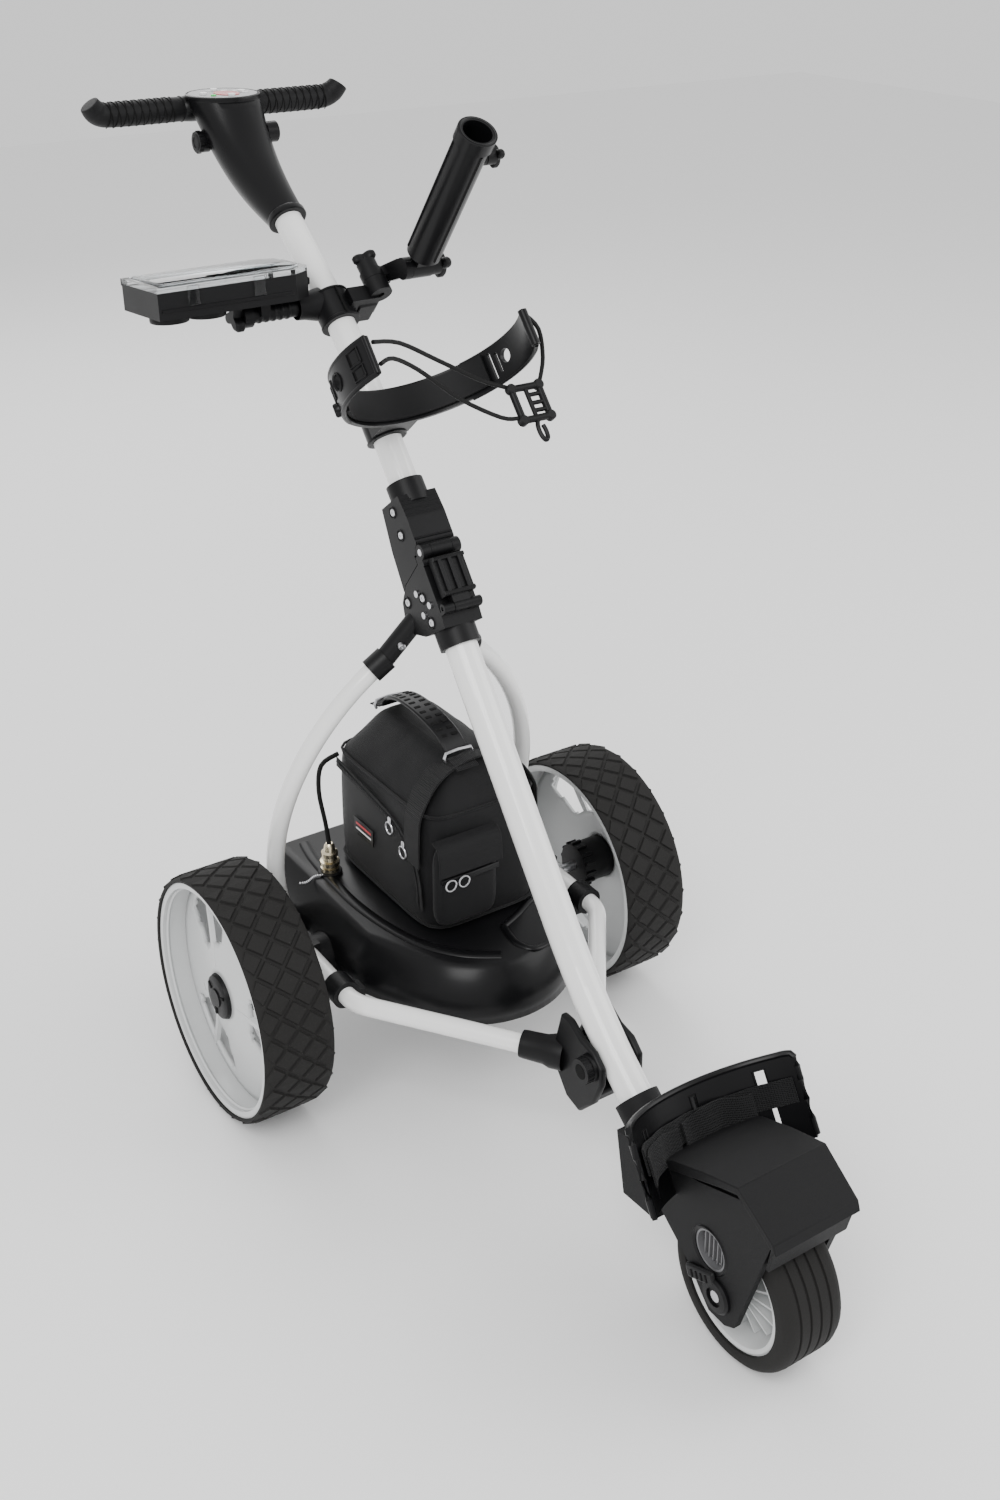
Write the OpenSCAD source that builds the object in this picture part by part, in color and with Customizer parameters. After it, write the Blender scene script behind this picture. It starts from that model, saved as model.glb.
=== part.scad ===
// Three-wheeled electric golf trolley. Lengths are in millimetres, +Z is up, and the
// trolley drives towards -Y. The origin is on the ground under the middle of the trolley.
// Every module is drawn with y measured from the rear axle, and at_axle() then puts it
// in place. A point written as [y, z] lies in the middle plane of the trolley.

/* [Wheels] */
// Diameter of a rear tyre
rear_d = 300; // [290:1:305]
// Width of a rear tyre
rear_w = 88; // [80:1:90]
// Distance between the middles of the rear tyres
track = 506; // [500:1:520]
// Diameter of the front tyre
front_d = 174; // [168:1:176]
// Width of the front tyre
front_w = 76; // [66:1:77]
// Distance from the rear axle forward to the front axle
wheelbase = 628; // [622:1:634]

/* [Frame] */
// Diameter of the lower main tube
lower_tube_d = 38; // [36:1:39]
// Diameter of the upper shaft tube
upper_tube_d = 34; // [32:1:35]
// Diameter of the curved tubes over the battery
hoop_d = 22; // [20:1:23]
// Diameter of the side tubes beside the battery tray
side_d = 22; // [20:1:23]
// Wall of every frame tube
tube_wall = 2; // [1.5:0.5:2.5]
// Slope of the lower main tube above the ground, in degrees
lower_angle = 52.35; // [52:0.05:53]
// Slope of the shaft tube just above the fold, in degrees
shaft_angle = 49.6; // [49:0.1:50]
// Slope of the shaft tube at the handle, in degrees
handle_angle = 38.3; // [38:0.1:39]

/* [Handle] */
// Length of the handle bar over both grips
handle_w = 356; // [330:2:360]
// Height of the handle bar's middle above the ground
handle_z = 1094; // [1092:1:1096]
// Diameter of a grip
grip_d = 34; // [31:1:35]

/* [Battery] */
// Width of the battery bag
bag_w = 158; // [150:2:160]
// Length of the battery bag
bag_l = 234; // [220:2:236]
// Height of the top of the battery tray above the ground
tray_z = 215; // [213:1:217]

/* [Bag cradles] */
// Inner radius of the upper cradle
cradle_r = 108; // [104:1:112]
// Height of the upper cradle's wings along the shaft
cradle_h = 44; // [40:1:48]
// Half of the angle that the upper cradle's wings take round the bag, in degrees
cradle_half_angle = 118; // [112:1:122]

/* [Hidden] */
$fn = 48;

// Rear axle's distance behind the origin
axle_y = 104;
black = [0.06, 0.06, 0.065];
rubber = [0.09, 0.09, 0.09];
white = [0.9, 0.9, 0.89];
grey = [0.66, 0.68, 0.69];
steel = [0.72, 0.72, 0.74];

// Path of the lower main tube: a straight top, a gentle bend, and a straight lower end
lower_top = [-76, 582];
lower_straight_l = 349.72;
lower_bend_at = lower_top - lower_straight_l * dir(lower_angle);
lower_bend_r = 720;
lower_bend = 15;
lower_end_l = 60;
lower_end_angle = lower_angle - lower_bend;
lower_bend_c = lower_bend_at + lower_bend_r * normal(lower_angle);
lower_bend_end = lower_bend_c - lower_bend_r * normal(lower_end_angle);

// Path of the shaft tube
shaft_foot = [26, 720.8];
shaft_bend_at = [121.9, 833.5];
shaft_bend_r = 600;
shaft_bend = shaft_angle - handle_angle;
shaft_top_l = 150;
shaft_straight_l = norm(shaft_bend_at - shaft_foot);
shaft_bend_c = shaft_bend_at - shaft_bend_r * normal(shaft_angle);
shaft_bend_end = shaft_bend_c + shaft_bend_r * normal(handle_angle);

// Fold pin's diameter, and the clearance round every turning pin
fold_pin_d = 8;
running = 0.05;

// Hoop tubes lie in a plane that leans back towards its foot
hoop_lean = 13.3;
hoop_c = [50, 287.1];
hoop_r = 312;
hoop_centre_x = -136;
hoop_start = -26.9;
hoop_turn = 79.2;

// Side tubes: straight at the rear, a bend, and a straight run in to the lower tube
side_x = 173;
side_z = 174;
side_back_y = -16;
side_bend_y = -110;
side_bend_r = 52;
side_turn = 37;
side_slope = 1.5;
side_front_l = 225;
side_bend_end = [side_x - side_bend_r * (1 - cos(side_turn)),
                 side_bend_y - side_bend_r * sin(side_turn)];
side_front_end = side_bend_end - side_front_l * [sin(side_turn), cos(side_turn)];
collar_y = -110;
// Hairline between a straight length of tube and its bend
weld = 0.02;

// Folding hinge, as distances forward of and up along the lower tube's slope
hinge_w = 50;
pin_local = [27.2, 87.6];
fold_pin = lower_top + pin_local[0] * normal(lower_angle) + pin_local[1] * dir(lower_angle);
hinge_ear_x = 14;
latch_local = [33, 18];
latch_pin_d = 5;

// Bracket of the side tubes
bracket_w = 60;
bracket_bolt = [-385, 190];
bolt_d = 8;

// Battery tray, and the beam under it that holds the motors
axle_z = rear_d / 2;
tray_half_w = 144;
tray_foot_z = 150;
socket_at = [-93, 72];
socket_d = 24;
housing_d = 64;
housing_half = 190;
shaft_d = 12;
gear_in_x = 146;

// Wheel parts
rear_rim_r = 141.5;
rear_hub_r = 28;
cap_d = 22;
front_rim_r = 67.5;

// Battery bag
bag_x = 16;
bag_front = -119;
bag_side_h = 152;
bag_top_h = 210;
lead_points = [[-93, 72, 255.2], [-95, 76, 285], [-97, 86, 325], [-88, 94, 354],
               [-63.2, 96, 362]];

// Front wheel housing
front_axle_at = [-wheelbase, front_d / 2];
front_axle_d = 12;
fork_w = 102;
fork_wall = 8;
fork_outline = [[-537, 125], [-528, 150], [-545, 190], [-592, 200], [-650, 222], [-696, 200],
                [-677, 140], [-654, 66], [-640, 58], [-616, 58], [-584, 92]];
neck_outline = [[-462, 172], [-528, 178], [-528, 104], [-476, 100]];
hood_outline = [[-703, 196], [-700, 206], [-650, 237], [-560, 204], [-526, 184], [-526, 150],
                [-536, 150], [-538, 176], [-562, 193], [-648, 225], [-692, 198]];

// Lower bag plate, curved round an axis in front of it
plate_axis = [-662, 223.5];
plate_angle = 58.7;
plate_r = 130;
plate_h = 87;
plate_half_angle = 53;

// Handle head
head_run = 105.7;
head_at = shaft_bend_end + head_run * dir(handle_angle);
panel_at = [453, 1107];
panel_d = 86;
panel_t = 6;
bar_at = [473, handle_z];
bar_d = 14;
bar_half = 150;
button_places = [[-26, 0], [0, 26], [0, -26], [26, 0]];
foot_in = 30;
button_d = 9;
knob_left_at = [435, 1058];
knob_right_at = [408, 1067];
knob_d = 26;

// Accessory clamp, score card holder and umbrella holder
clamp_angle = 41.7;
clamp_at = shaft_bend_c + shaft_bend_r * normal(clamp_angle);
arm_at = [192, 900];
swivel_at = [160, 918];
swivel_x = 47.5;
tilt_at = [131, 944];
umbrella_x = 85;
umbrella_lean = 37;
umbrella_l = 191;
umbrella_d = 41;
umbrella_bore = 34;
screw_up = 175;
lid_pin = [54.5, 16];

// Upper cradle
cradle_at = [78.5, 782.5];
cradle_offset = 155;
buckle_at = [72, -165];
cord_points = [[[-90, -203, 15], [-50, -186, 16], [0, -164, -2], [46, -156, -30],
                [74, -158, -45.9]],
               [[-90, -202, -10], [-64, -186, 0], [-24, -160, -8], [20, -146, -44],
                [56, -152, -76], [71.9, -160, -84]],
               [[97, -208, 16], [116, -196, 0], [121, -176, -26], [116, -161, -45.9]]];

function dir(a) = [cos(a), sin(a)];
function normal(a) = [-sin(a), cos(a)];

// ---------- shared shapes ----------
module at_axle() translate([0, axle_y, 0]) children();

// Puts +Z along a slope in the middle plane, with -Y on its upper, forward side
module on_slope(point, angle)
    translate([0, point[0], point[1]]) rotate([angle - 90, 0, 0]) children();

// Extrudes a [y, z] outline along X from x0
module side_cut(x0, width)
    translate([x0, 0, 0]) rotate([90, 0, 90]) linear_extrude(width) children();

module x_rod(x0, x1, point, d)
    translate([x0, point[0], point[1]]) rotate([0, 90, 0]) cylinder(d = d, h = x1 - x0);

module x_ring(x0, x1, point, d, hole_d)
    difference() {
        x_rod(x0, x1, point, d);
        x_rod(x0 - 1, x1 + 1, point, hole_d);
    }

module tube(d, l, wall = tube_wall)
    difference() {
        cylinder(d = d, h = l);
        translate([0, 0, -1]) cylinder(d = d - 2 * wall, h = l + 2);
    }

// A bent length of tube in the XY plane round the origin
module tube_arc(d, r, start, turn, wall = tube_wall)
    rotate([0, 0, start]) rotate_extrude(angle = turn, $fn = 180)
        translate([r, 0]) difference() {
            circle(d = d, $fn = 48);
            circle(d = d - 2 * wall, $fn = 48);
        }

// The same length of bend without a bore
module solid_arc(d, r, start, turn)
    rotate([0, 0, start]) rotate_extrude(angle = turn, $fn = 180)
        translate([r, 0]) circle(d = d, $fn = 48);

module on_side(side)
    mirror([side < 0 ? 1 : 0, 0, 0]) children();

module both_sides() {
    children();
    mirror([1, 0, 0]) children();
}

// ---------- chassis ----------
module lower_bend_tube(wall)
    translate([0, lower_bend_c[0], lower_bend_c[1]]) rotate([90, 0, 90])
        tube_arc(lower_tube_d, lower_bend_r, lower_end_angle - 90, lower_bend, wall);

module lower_tube()
    color(white) at_axle() {
        on_slope(lower_bend_at, lower_angle) tube(lower_tube_d, lower_straight_l);
        lower_bend_tube(tube_wall);
        on_slope(lower_bend_end, lower_end_angle)
            translate([0, 0, -lower_end_l]) tube(lower_tube_d, lower_end_l);
    }

// The room that the lower tube takes, for the parts that grip it
module lower_tube_room() {
    room_d = lower_tube_d + 2 * running;
    on_slope(lower_bend_at, lower_angle) cylinder(d = room_d, h = lower_straight_l);
    translate([0, lower_bend_c[0], lower_bend_c[1]]) rotate([90, 0, 90])
        solid_arc(room_d, lower_bend_r, lower_end_angle - 90, lower_bend);
    on_slope(lower_bend_end, lower_end_angle)
        translate([0, 0, -lower_end_l]) cylinder(d = room_d, h = lower_end_l);
}

module in_hoop_plane()
    translate([hoop_centre_x, hoop_c[0], hoop_c[1]]) rotate([90 + hoop_lean, 0, 0]) children();

module hoop_tube(side)
    color(white) at_axle() on_side(side) in_hoop_plane()
        tube_arc(hoop_d, hoop_r, hoop_start, hoop_turn);

module in_side_plane()
    translate([0, side_bend_y, side_z]) rotate([side_slope, 0, 0])
        translate([0, -side_bend_y, 0]) children();

module side_run(d, wall) {
    translate([side_x, side_bend_y + weld, 0]) rotate([-90, 0, 0])
        tube(d, side_back_y - side_bend_y, wall);
    translate([side_x - side_bend_r, side_bend_y, 0])
        tube_arc(d, side_bend_r, -side_turn, side_turn, wall);
    translate([side_bend_end[0], side_bend_end[1], 0])
        rotate([90, 0, -side_turn]) translate([0, 0, weld]) tube(d, side_front_l, wall);
}

module side_tube(side)
    color(white) at_axle() on_side(side) in_side_plane() side_run(side_d, tube_wall);

// Lower hinge casting: a collar on the lower tube, a body up to the seam, two ears for the
// fold pin, and two arms down to the hoop tubes
module hinge_base()
    color(black) at_axle() difference() {
        union() {
            on_slope(lower_top, lower_angle) {
                translate([0, 0, -22]) cylinder(d = lower_tube_d + 10, h = 30);
                slope_cut(hinge_w, [[24, -2], [26, 14], [26, 70], [22, 79.5], [-30, 66],
                                    [-50, 52], [-60, 30], [-52, 14], [-24, 2]]);
                both_sides() {
                    slope_ear(pin_local, hinge_ear_x, 9, 14);
                    slope_ear(latch_local, 11.4, 5.5, 4);
                }
            }
            both_sides() hoop_arm();
        }
        on_slope(lower_top, lower_angle) translate([0, 0, -23])
            cylinder(d = lower_tube_d, h = 23);
        both_sides() in_hoop_plane() solid_arc(hoop_d, hoop_r, hoop_start, hoop_turn);
        x_rod(-60, 60, fold_pin, fold_pin_d);
        on_slope(lower_top, lower_angle)
            translate([-hinge_w / 2 - 1, -latch_local[0], latch_local[1]]) rotate([0, 90, 0])
                cylinder(d = latch_pin_d + 2 * running, h = hinge_w + 2);
    }

module hoop_arm() {
    rod_between([12, -22, 582], [52, -8, 531], 24);
    in_hoop_plane() rotate([0, 0, hoop_start + hoop_turn]) translate([hoop_r, 6, 0])
        rotate([90, 0, 0]) cylinder(d = hoop_d + 8, h = 24);
}

module rod_between(a, b, d) {
    run = b - a;
    translate(a) rotate([0, acos(run[2] / norm(run)), atan2(run[1], run[0])])
        cylinder(d = d, h = norm(run));
}

// Extrudes a [forward, up] outline across the middle of a sloping part
module slope_cut(width, outline)
    translate([-width / 2, 0, 0]) rotate([90, 0, 90]) linear_extrude(width)
        polygon([for (p = outline) [-p[0], p[1]]]);

// One ear round a pin of the hinge, with a root that reaches back into the body
module slope_ear(place, x0, r, root)
    translate([x0, -place[0], place[1]]) rotate([0, 90, 0]) {
        cylinder(r = r, h = hinge_w / 2 - x0);
        translate([2, 0, 0]) cube([root, 13, hinge_w / 2 - x0]);
    }

// Bracket that joins both side tubes to the lower tube, with a cheek on each side of it
module front_bracket()
    color(black) at_axle() difference() {
        union() {
            side_cut(-bracket_w / 2, bracket_w)
                polygon([[-346, 224], [-338, 190], [-318, 182], [-316, 150], [-344, 120],
                         [-372, 114], [-410, 156], [-418, 192], [-398, 216]]);
            in_side_plane() both_sides()
                translate([side_front_end[0], side_front_end[1], 0])
                    rotate([-90, 0, -side_turn]) cylinder(d = side_d + 9, h = 40);
        }
        lower_tube_room();
        in_side_plane() both_sides() side_room();
        x_rod(-bracket_w / 2 - 1, -lower_tube_d / 2, bracket_bolt, bolt_d + 2 * running);
    }

module side_room() {
    translate([side_x, side_bend_y, 0]) rotate([-90, 0, 0])
        cylinder(d = side_d, h = side_back_y - side_bend_y);
    translate([side_bend_end[0], side_bend_end[1], 0])
        rotate([90, 0, -side_turn]) cylinder(d = side_d, h = side_front_l);
}

module bracket_knob()
    color(black) at_axle() {
        x_rod(-bracket_w / 2 - 6, -lower_tube_d / 2 - 1, bracket_bolt, bolt_d);
        x_rod(-bracket_w / 2 - 12, -bracket_w / 2 - 0.4, bracket_bolt, 28);
    }

// Clamps that hang the battery tray on the side tubes
module side_collars()
    color(black) at_axle() both_sides() difference() {
        in_side_plane() {
            translate([side_x, collar_y, 0]) rotate([-90, 0, 0])
                cylinder(d = side_d + 12, h = 26);
            translate([tray_half_w + 2, collar_y + 4, -16]) cube([32, 18, 14]);
        }
        in_side_plane() side_room();
    }

module tray_outline(inset)
    hull() {
        for (side = [-1, 1]) {
            translate([side * (tray_half_w - 42), 150]) circle(r = 42 - inset);
            translate([side * (tray_half_w - 30), -70]) circle(r = 30 - inset);
        }
        translate([0, -112]) circle(r = 118 - inset);
    }

module tray_hill(inset, top, foot)
    hull() {
        translate([0, 0, top - 2]) linear_extrude(2) tray_outline(26 + inset);
        translate([0, 0, foot]) linear_extrude(20) tray_outline(inset);
    }

// Moulded apron over the motors, flat on top under the battery
module motor_tray()
    color(black) at_axle() {
        difference() {
            tray_hill(0, tray_z, tray_foot_z);
            tray_hill(3.5, tray_z - 4, tray_foot_z - 1);
            x_rod(-tray_half_w - 1, tray_half_w + 1, [0, axle_z], housing_d + 1);
            translate([socket_at[0], socket_at[1], tray_z - 10])
                cylinder(d = socket_d, h = 20);
            both_sides() in_hoop_plane() solid_arc(hoop_d + 2, hoop_r, hoop_start, hoop_turn);
        }
        for (side = [-1, 1])
            for (y = [-66, -44])
                translate([side > 0 ? tray_half_w - 1 : -tray_half_w - 21, y, tray_foot_z + 4])
                    cube([22, 6, 7]);
    }

// Beam across the trolley that holds the motors, with feet for the tubes
module axle_housing()
    color(black) at_axle() difference() {
        union() {
            x_rod(-housing_half, housing_half, [0, axle_z], housing_d);
            both_sides() {
                translate([119, 10, axle_z - 14]) cube([14, 84, 24]);
                translate([side_x - 15, -20, axle_z + 10]) cube([30, 30, 28]);
            }
        }
        x_rod(-housing_half + 5, housing_half - 5, [0, axle_z], housing_d - 8);
        x_rod(-housing_half - 1, housing_half + 1, [0, axle_z], shaft_d + 2 * running);
        both_sides() in_hoop_plane() solid_arc(hoop_d, hoop_r, hoop_start, hoop_turn);
        both_sides() in_side_plane() side_room();
    }

// One motor and one gearbox for each rear wheel
module drive_units()
    color(steel) at_axle() both_sides() {
        x_rod(12, 96, [0, axle_z], housing_d - 10);
        difference() {
            x_rod(98, 160, [0, axle_z], housing_d - 9);
            x_rod(gear_in_x, 161, [0, axle_z], shaft_d + 2 * running);
        }
    }

module controller()
    color(grey) at_axle() translate([-60, 44, tray_z - 34]) cube([120, 70, 22]);

module tray_socket()
    color(steel) at_axle() translate([socket_at[0], socket_at[1], tray_z - 14]) {
        cylinder(d = socket_d, h = 18);
        translate([0, 0, 14]) cylinder(d = socket_d + 4, h = 3);
    }

module lead_plug()
    color(steel) at_axle() translate([socket_at[0], socket_at[1], tray_z + 4]) {
        cylinder(d = socket_d, h = 24);
        translate([0, 0, 24]) cylinder(d = socket_d - 6, h = 12);
    }

// Housing over the front wheel: two side plates, a hood and a neck for the lower tube
module fork_housing()
    color(black) at_axle() difference() {
        union() {
            for (x0 = [-fork_w / 2, fork_w / 2 - fork_wall])
                side_cut(x0, fork_wall) polygon(fork_outline);
            side_cut(-fork_w / 2, fork_w) polygon(hood_outline);
            side_cut(-fork_w / 2, fork_w) polygon(neck_outline);
            on_slope(lower_bend_end, lower_end_angle)
                translate([0, 0, -lower_end_l]) cylinder(d = lower_tube_d + 12, h = 52);
        }
        lower_tube_room();
        x_rod(-fork_w, fork_w, front_axle_at, front_axle_d);
        x_rod(-fork_w, fork_w, [-613, 131], 44);
    }

module bag_plate()
    color(black) at_axle() difference() {
        union() {
            on_slope(plate_axis, plate_angle) arc_wall(plate_r, 5, plate_half_angle, 0, plate_h);
            on_slope(plate_axis, plate_angle)
                translate([-18, plate_r + 5, -14]) cube([36, 6, 50]);
        }
        on_slope(plate_axis, plate_angle) {
            arc_slot(plate_r, -34, 46, 5, 16);
            arc_slot(plate_r, 3, 46, 6, 30);
            arc_slot(plate_r, 36, 60, 10, 18);
            arc_slot(plate_r, -38, 8, 5, 34);
            arc_slot(plate_r, 38, 8, 5, 34);
        }
        hood_room();
    }

// Room for the front wheel housing, below the middle of the bag plate
module hood_room()
    side_cut(-fork_w / 2 - 0.5, fork_w + 1)
        polygon([[-440, 60], [-440, 178], [-526, 184.2], [-560, 204.2], [-650, 237.2],
                 [-710, 208], [-710, 60]]);

// Part of an upright cylinder wall, centred on its +Y side
module arc_wall(r, t, half_angle, z0, h)
    translate([0, 0, z0]) rotate([0, 0, 90 - half_angle])
        rotate_extrude(angle = 2 * half_angle, $fn = 120) translate([r, 0]) square([t, h]);

// Room for a slot through an arc wall, at an angle right of its middle
module arc_slot(r, angle, z0, w, h)
    rotate([0, 0, 90 - angle]) translate([r - 6, -w / 2, z0]) cube([20, w, h]);

module lower_strap()
    color(rubber) at_axle() on_slope(plate_axis, plate_angle)
        arc_wall(plate_r - 5, 4, plate_half_angle - 4, 44, 30);

module frame_screws()
    color(steel) at_axle() on_slope(lower_top, lower_angle) both_sides()
        for (p = [[-10, 50], [-10, 24], [10, 30]])
            translate([hinge_w / 2, -p[0], p[1]]) rotate([0, 90, 0]) cylinder(d = 8, h = 2);

module battery_bag()
    color(rubber) at_axle() translate([bag_x, 0, tray_z]) difference() {
        bag_form(0);
        translate([0, 0, 3]) bag_form(3);
    }

module bag_form(inset)
    hull() {
        translate([-bag_w / 2 + inset, bag_front + inset, 0])
            cube([bag_w - 2 * inset, bag_l - 2 * inset, bag_side_h - 2 * inset]);
        translate([-bag_w / 2 + 30 + inset, bag_front + 60 + inset, 0])
            cube([bag_w - 50 - 2 * inset, bag_l - 84 - 2 * inset, bag_top_h - 2 * inset]);
    }

module battery()
    color(grey) at_axle() translate([bag_x - 65, bag_front + 40, tray_z + 3])
        cube([130, 180, 130]);

// A round cord swept along a list of points
module cord(points, d, sides = 8) {
    last = len(points) - 1;
    rings = [for (i = [0:last]) let (
        t = points[min(i + 1, last)] - points[max(i - 1, 0)],
        u0 = cross(t, [0, 1, 0]),
        u = u0 / norm(u0),
        v = cross(t, u) / norm(t))
        for (k = [0:sides - 1])
            points[i] + d / 2 * (cos(360 * k / sides) * u + sin(360 * k / sides) * v)];
    walls = [for (i = [0:last - 1], k = [0:sides - 1]) let (n = (k + 1) % sides)
        [i * sides + k, i * sides + n, (i + 1) * sides + n, (i + 1) * sides + k]];
    ends = [[for (k = [sides - 1:-1:0]) k],
            [for (k = [0:sides - 1]) last * sides + k]];
    polyhedron(rings, concat(walls, ends));
}

// Points on a smooth curve through a short list of places
function curve_point(p, i, t) = let (
    a = p[max(i - 1, 0)], b = p[i], c = p[i + 1], d = p[min(i + 2, len(p) - 1)])
    0.5 * (2 * b + (c - a) * t + (2 * a - 5 * b + 4 * c - d) * t * t
        + (3 * b - a - 3 * c + d) * t * t * t);
function smooth(p, steps) = concat(
    [for (i = [0:len(p) - 2], k = [0:steps - 1]) curve_point(p, i, k / steps)],
    [p[len(p) - 1]]);

module battery_lead()
    color(rubber) at_axle() cord(smooth(lead_points, 4), 6);

// ---------- wheels ----------
module at_wheel(side)
    translate([side * track / 2, axle_y, axle_z]) rotate([0, side * 90, 0]) children();

module tyre_form(r, inner, w, edge)
    rotate_extrude($fn = 90)
        polygon([[inner, -w / 2], [r - edge, -w / 2], [r, -w / 2 + edge],
                 [r, w / 2 - edge], [r - edge, w / 2], [inner, w / 2]]);

// Rim with windows of a stated angle through its web
module rim_form(r, w, web_in, web_out, hub_r, windows, window_in, window_out, window_turn)
    difference() {
        union() {
            difference() {
                translate([0, 0, -w / 2]) cylinder(r = r, h = w, $fn = 90);
                translate([0, 0, -w / 2 - 1]) cylinder(r = r - 5, h = w + 2, $fn = 90);
            }
            translate([0, 0, web_in]) cylinder(r = r - 3, h = web_out - web_in, $fn = 90);
        }
        translate([0, 0, -w]) cylinder(r = hub_r, h = 2 * w);
        for (i = [0:windows - 1])
            rotate([0, 0, (i + 0.5) * 360 / windows - window_turn / 2])
                rotate_extrude(angle = window_turn, $fn = 90)
                    translate([window_in, -w]) square([window_out - window_in, 2 * w]);
    }

module rear_tyre(side)
    color(rubber) at_wheel(side) tyre_form(rear_d / 2, rear_rim_r, rear_w, 8);

module rear_rim(side)
    color(grey) at_wheel(side)
        rim_form(rear_rim_r, rear_w - 6, 10, 16, rear_hub_r, 3, 62, 122, 52);

module rear_hub(side)
    color(black) at_wheel(side) difference() {
        translate([0, 0, -24]) cylinder(r = rear_hub_r, h = 58);
        translate([0, 0, -25]) cylinder(d = shaft_d, h = 43);
        translate([0, 0, 24]) cylinder(d = cap_d + 2 * running, h = 12);
    }

module hub_button(side)
    color(black) at_wheel(side) translate([0, 0, 27.5]) cylinder(d = cap_d, h = 8);

module drive_shaft(side)
    color(steel) at_wheel(side) translate([0, 0, gear_in_x + 1 - track / 2])
        cylinder(d = shaft_d, h = track / 2 - gear_in_x + 17);

module at_front_wheel()
    at_axle() translate([0, front_axle_at[0], front_axle_at[1]]) rotate([0, 90, 0]) children();

module front_tyre()
    color(rubber) at_front_wheel() tyre_form(front_d / 2, front_rim_r, front_w, 8);

module front_rim()
    color(grey) at_front_wheel() {
        rim_form(front_rim_r, front_w - 8, -4, 4, 12, 6, 24, 54, 30);
        difference() {
            translate([0, 0, -front_w / 2]) cylinder(r = 14, h = front_w);
            translate([0, 0, -front_w]) cylinder(d = front_axle_d + 2 * running,
                                                 h = 2 * front_w);
        }
    }

// ---------- folding shaft ----------
module latch_lever()
    color(black) at_axle() on_slope(lower_top, lower_angle) {
        translate([-hinge_w / 2 + 1, -latch_local[0], latch_local[1]]) rotate([0, 90, 0])
            cylinder(d = latch_pin_d, h = hinge_w - 2);
        translate([-11, -latch_local[0], latch_local[1]]) rotate([0, 90, 0])
            cylinder(d = 12, h = 22);
        translate([-11, -38, 20]) cube([22, 9, 14]);
        translate([-20, -40, 30]) cube([40, 10, 46]);
    }

module shaft_room(from_straight) {
    on_slope(shaft_foot, shaft_angle) translate([0, 0, -from_straight])
        cylinder(d = upper_tube_d, h = shaft_straight_l + from_straight);
    shaft_bend_room();
    on_slope(shaft_bend_end, handle_angle) cylinder(d = upper_tube_d, h = shaft_top_l);
}

module shaft_bend_room()
    translate([0, shaft_bend_c[0], shaft_bend_c[1]]) rotate([90, 0, 90])
        solid_arc(upper_tube_d, shaft_bend_r, handle_angle + 90, shaft_bend);

module upper_tube()
    color(white) at_axle() {
        on_slope(shaft_foot, shaft_angle) translate([0, 0, -foot_in])
            tube(upper_tube_d, shaft_straight_l + foot_in - weld);
        translate([0, shaft_bend_c[0], shaft_bend_c[1]]) rotate([90, 0, 90])
            tube_arc(upper_tube_d, shaft_bend_r, handle_angle + 90, shaft_bend);
        on_slope(shaft_bend_end, handle_angle) translate([0, 0, weld])
            tube(upper_tube_d, shaft_top_l - weld);
    }

// Upper hinge casting, with a barrel between the ears of the lower one
module hinge_head()
    color(black) at_axle() difference() {
        union() {
            on_slope(lower_top, lower_angle) difference() {
                slope_cut(hinge_w, [[22, 80.4], [27, 100], [27, 130], [23, 158], [-22, 158],
                                    [-33, 110], [-38, 61.4], [-30, 66.8]]);
                both_sides() translate([hinge_ear_x - 0.4, -pin_local[0], pin_local[1]])
                    rotate([0, 90, 0]) {
                        cylinder(r = 9.6, h = 20);
                        translate([-0.6, -0.5, 0]) cube([18, 14.5, 20]);
                    }
            }
            on_slope(lower_top, lower_angle)
                translate([-hinge_ear_x + 0.4, -pin_local[0], pin_local[1]]) rotate([0, 90, 0])
                    cylinder(r = 9, h = 2 * hinge_ear_x - 0.8);
            on_slope(shaft_foot, shaft_angle) translate([0, 0, -24])
                cylinder(d = upper_tube_d + 10, h = 28);
        }
        shaft_room(foot_in);
        x_rod(-60, 60, fold_pin, fold_pin_d + 2 * running);
    }

module hinge_pins()
    color(steel) at_axle() x_rod(-hinge_w / 2, hinge_w / 2, fold_pin, fold_pin_d);

module front_axle()
    color(steel) at_axle() x_rod(-fork_w / 2 - 4, fork_w / 2 + 4, front_axle_at, front_axle_d);

module head_shell()
    color(black) at_axle() difference() {
        union() {
            hull() {
                on_slope(head_at, handle_angle) cylinder(d = upper_tube_d + 10, h = 6);
                translate([0, panel_at[0], panel_at[1] - 10]) cylinder(d = panel_d + 6, h = 10);
                x_rod(-30, 30, [440, 1058], 40);
            }
            x_rod(-48, 48, bar_at, 26);
        }
        shaft_room(0);
        x_rod(-bar_half, bar_half, bar_at, bar_d);
        knob_room(-1, knob_left_at);
        knob_room(1, knob_right_at);
    }

module knob_room(side, point)
    on_side(side) {
        x_rod(32, 70, point, knob_d + 1.6);
        x_rod(20, 33, point, 6 + 2 * running);
    }

module handle_bar()
    color(steel) at_axle() x_rod(-bar_half, bar_half, bar_at, bar_d);

module grips()
    color(rubber) at_axle() both_sides() difference() {
        union() {
            x_rod(49, handle_w / 2 - 22, bar_at, grip_d);
            translate([handle_w / 2 - 22, bar_at[0], bar_at[1]]) sphere(d = grip_d);
            translate([handle_w / 2 - 22, bar_at[0], bar_at[1]]) rotate([-25, 45, 0])
                cylinder(d = 25, h = 26);
        }
        x_rod(40, bar_half, bar_at, bar_d);
    }

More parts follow.
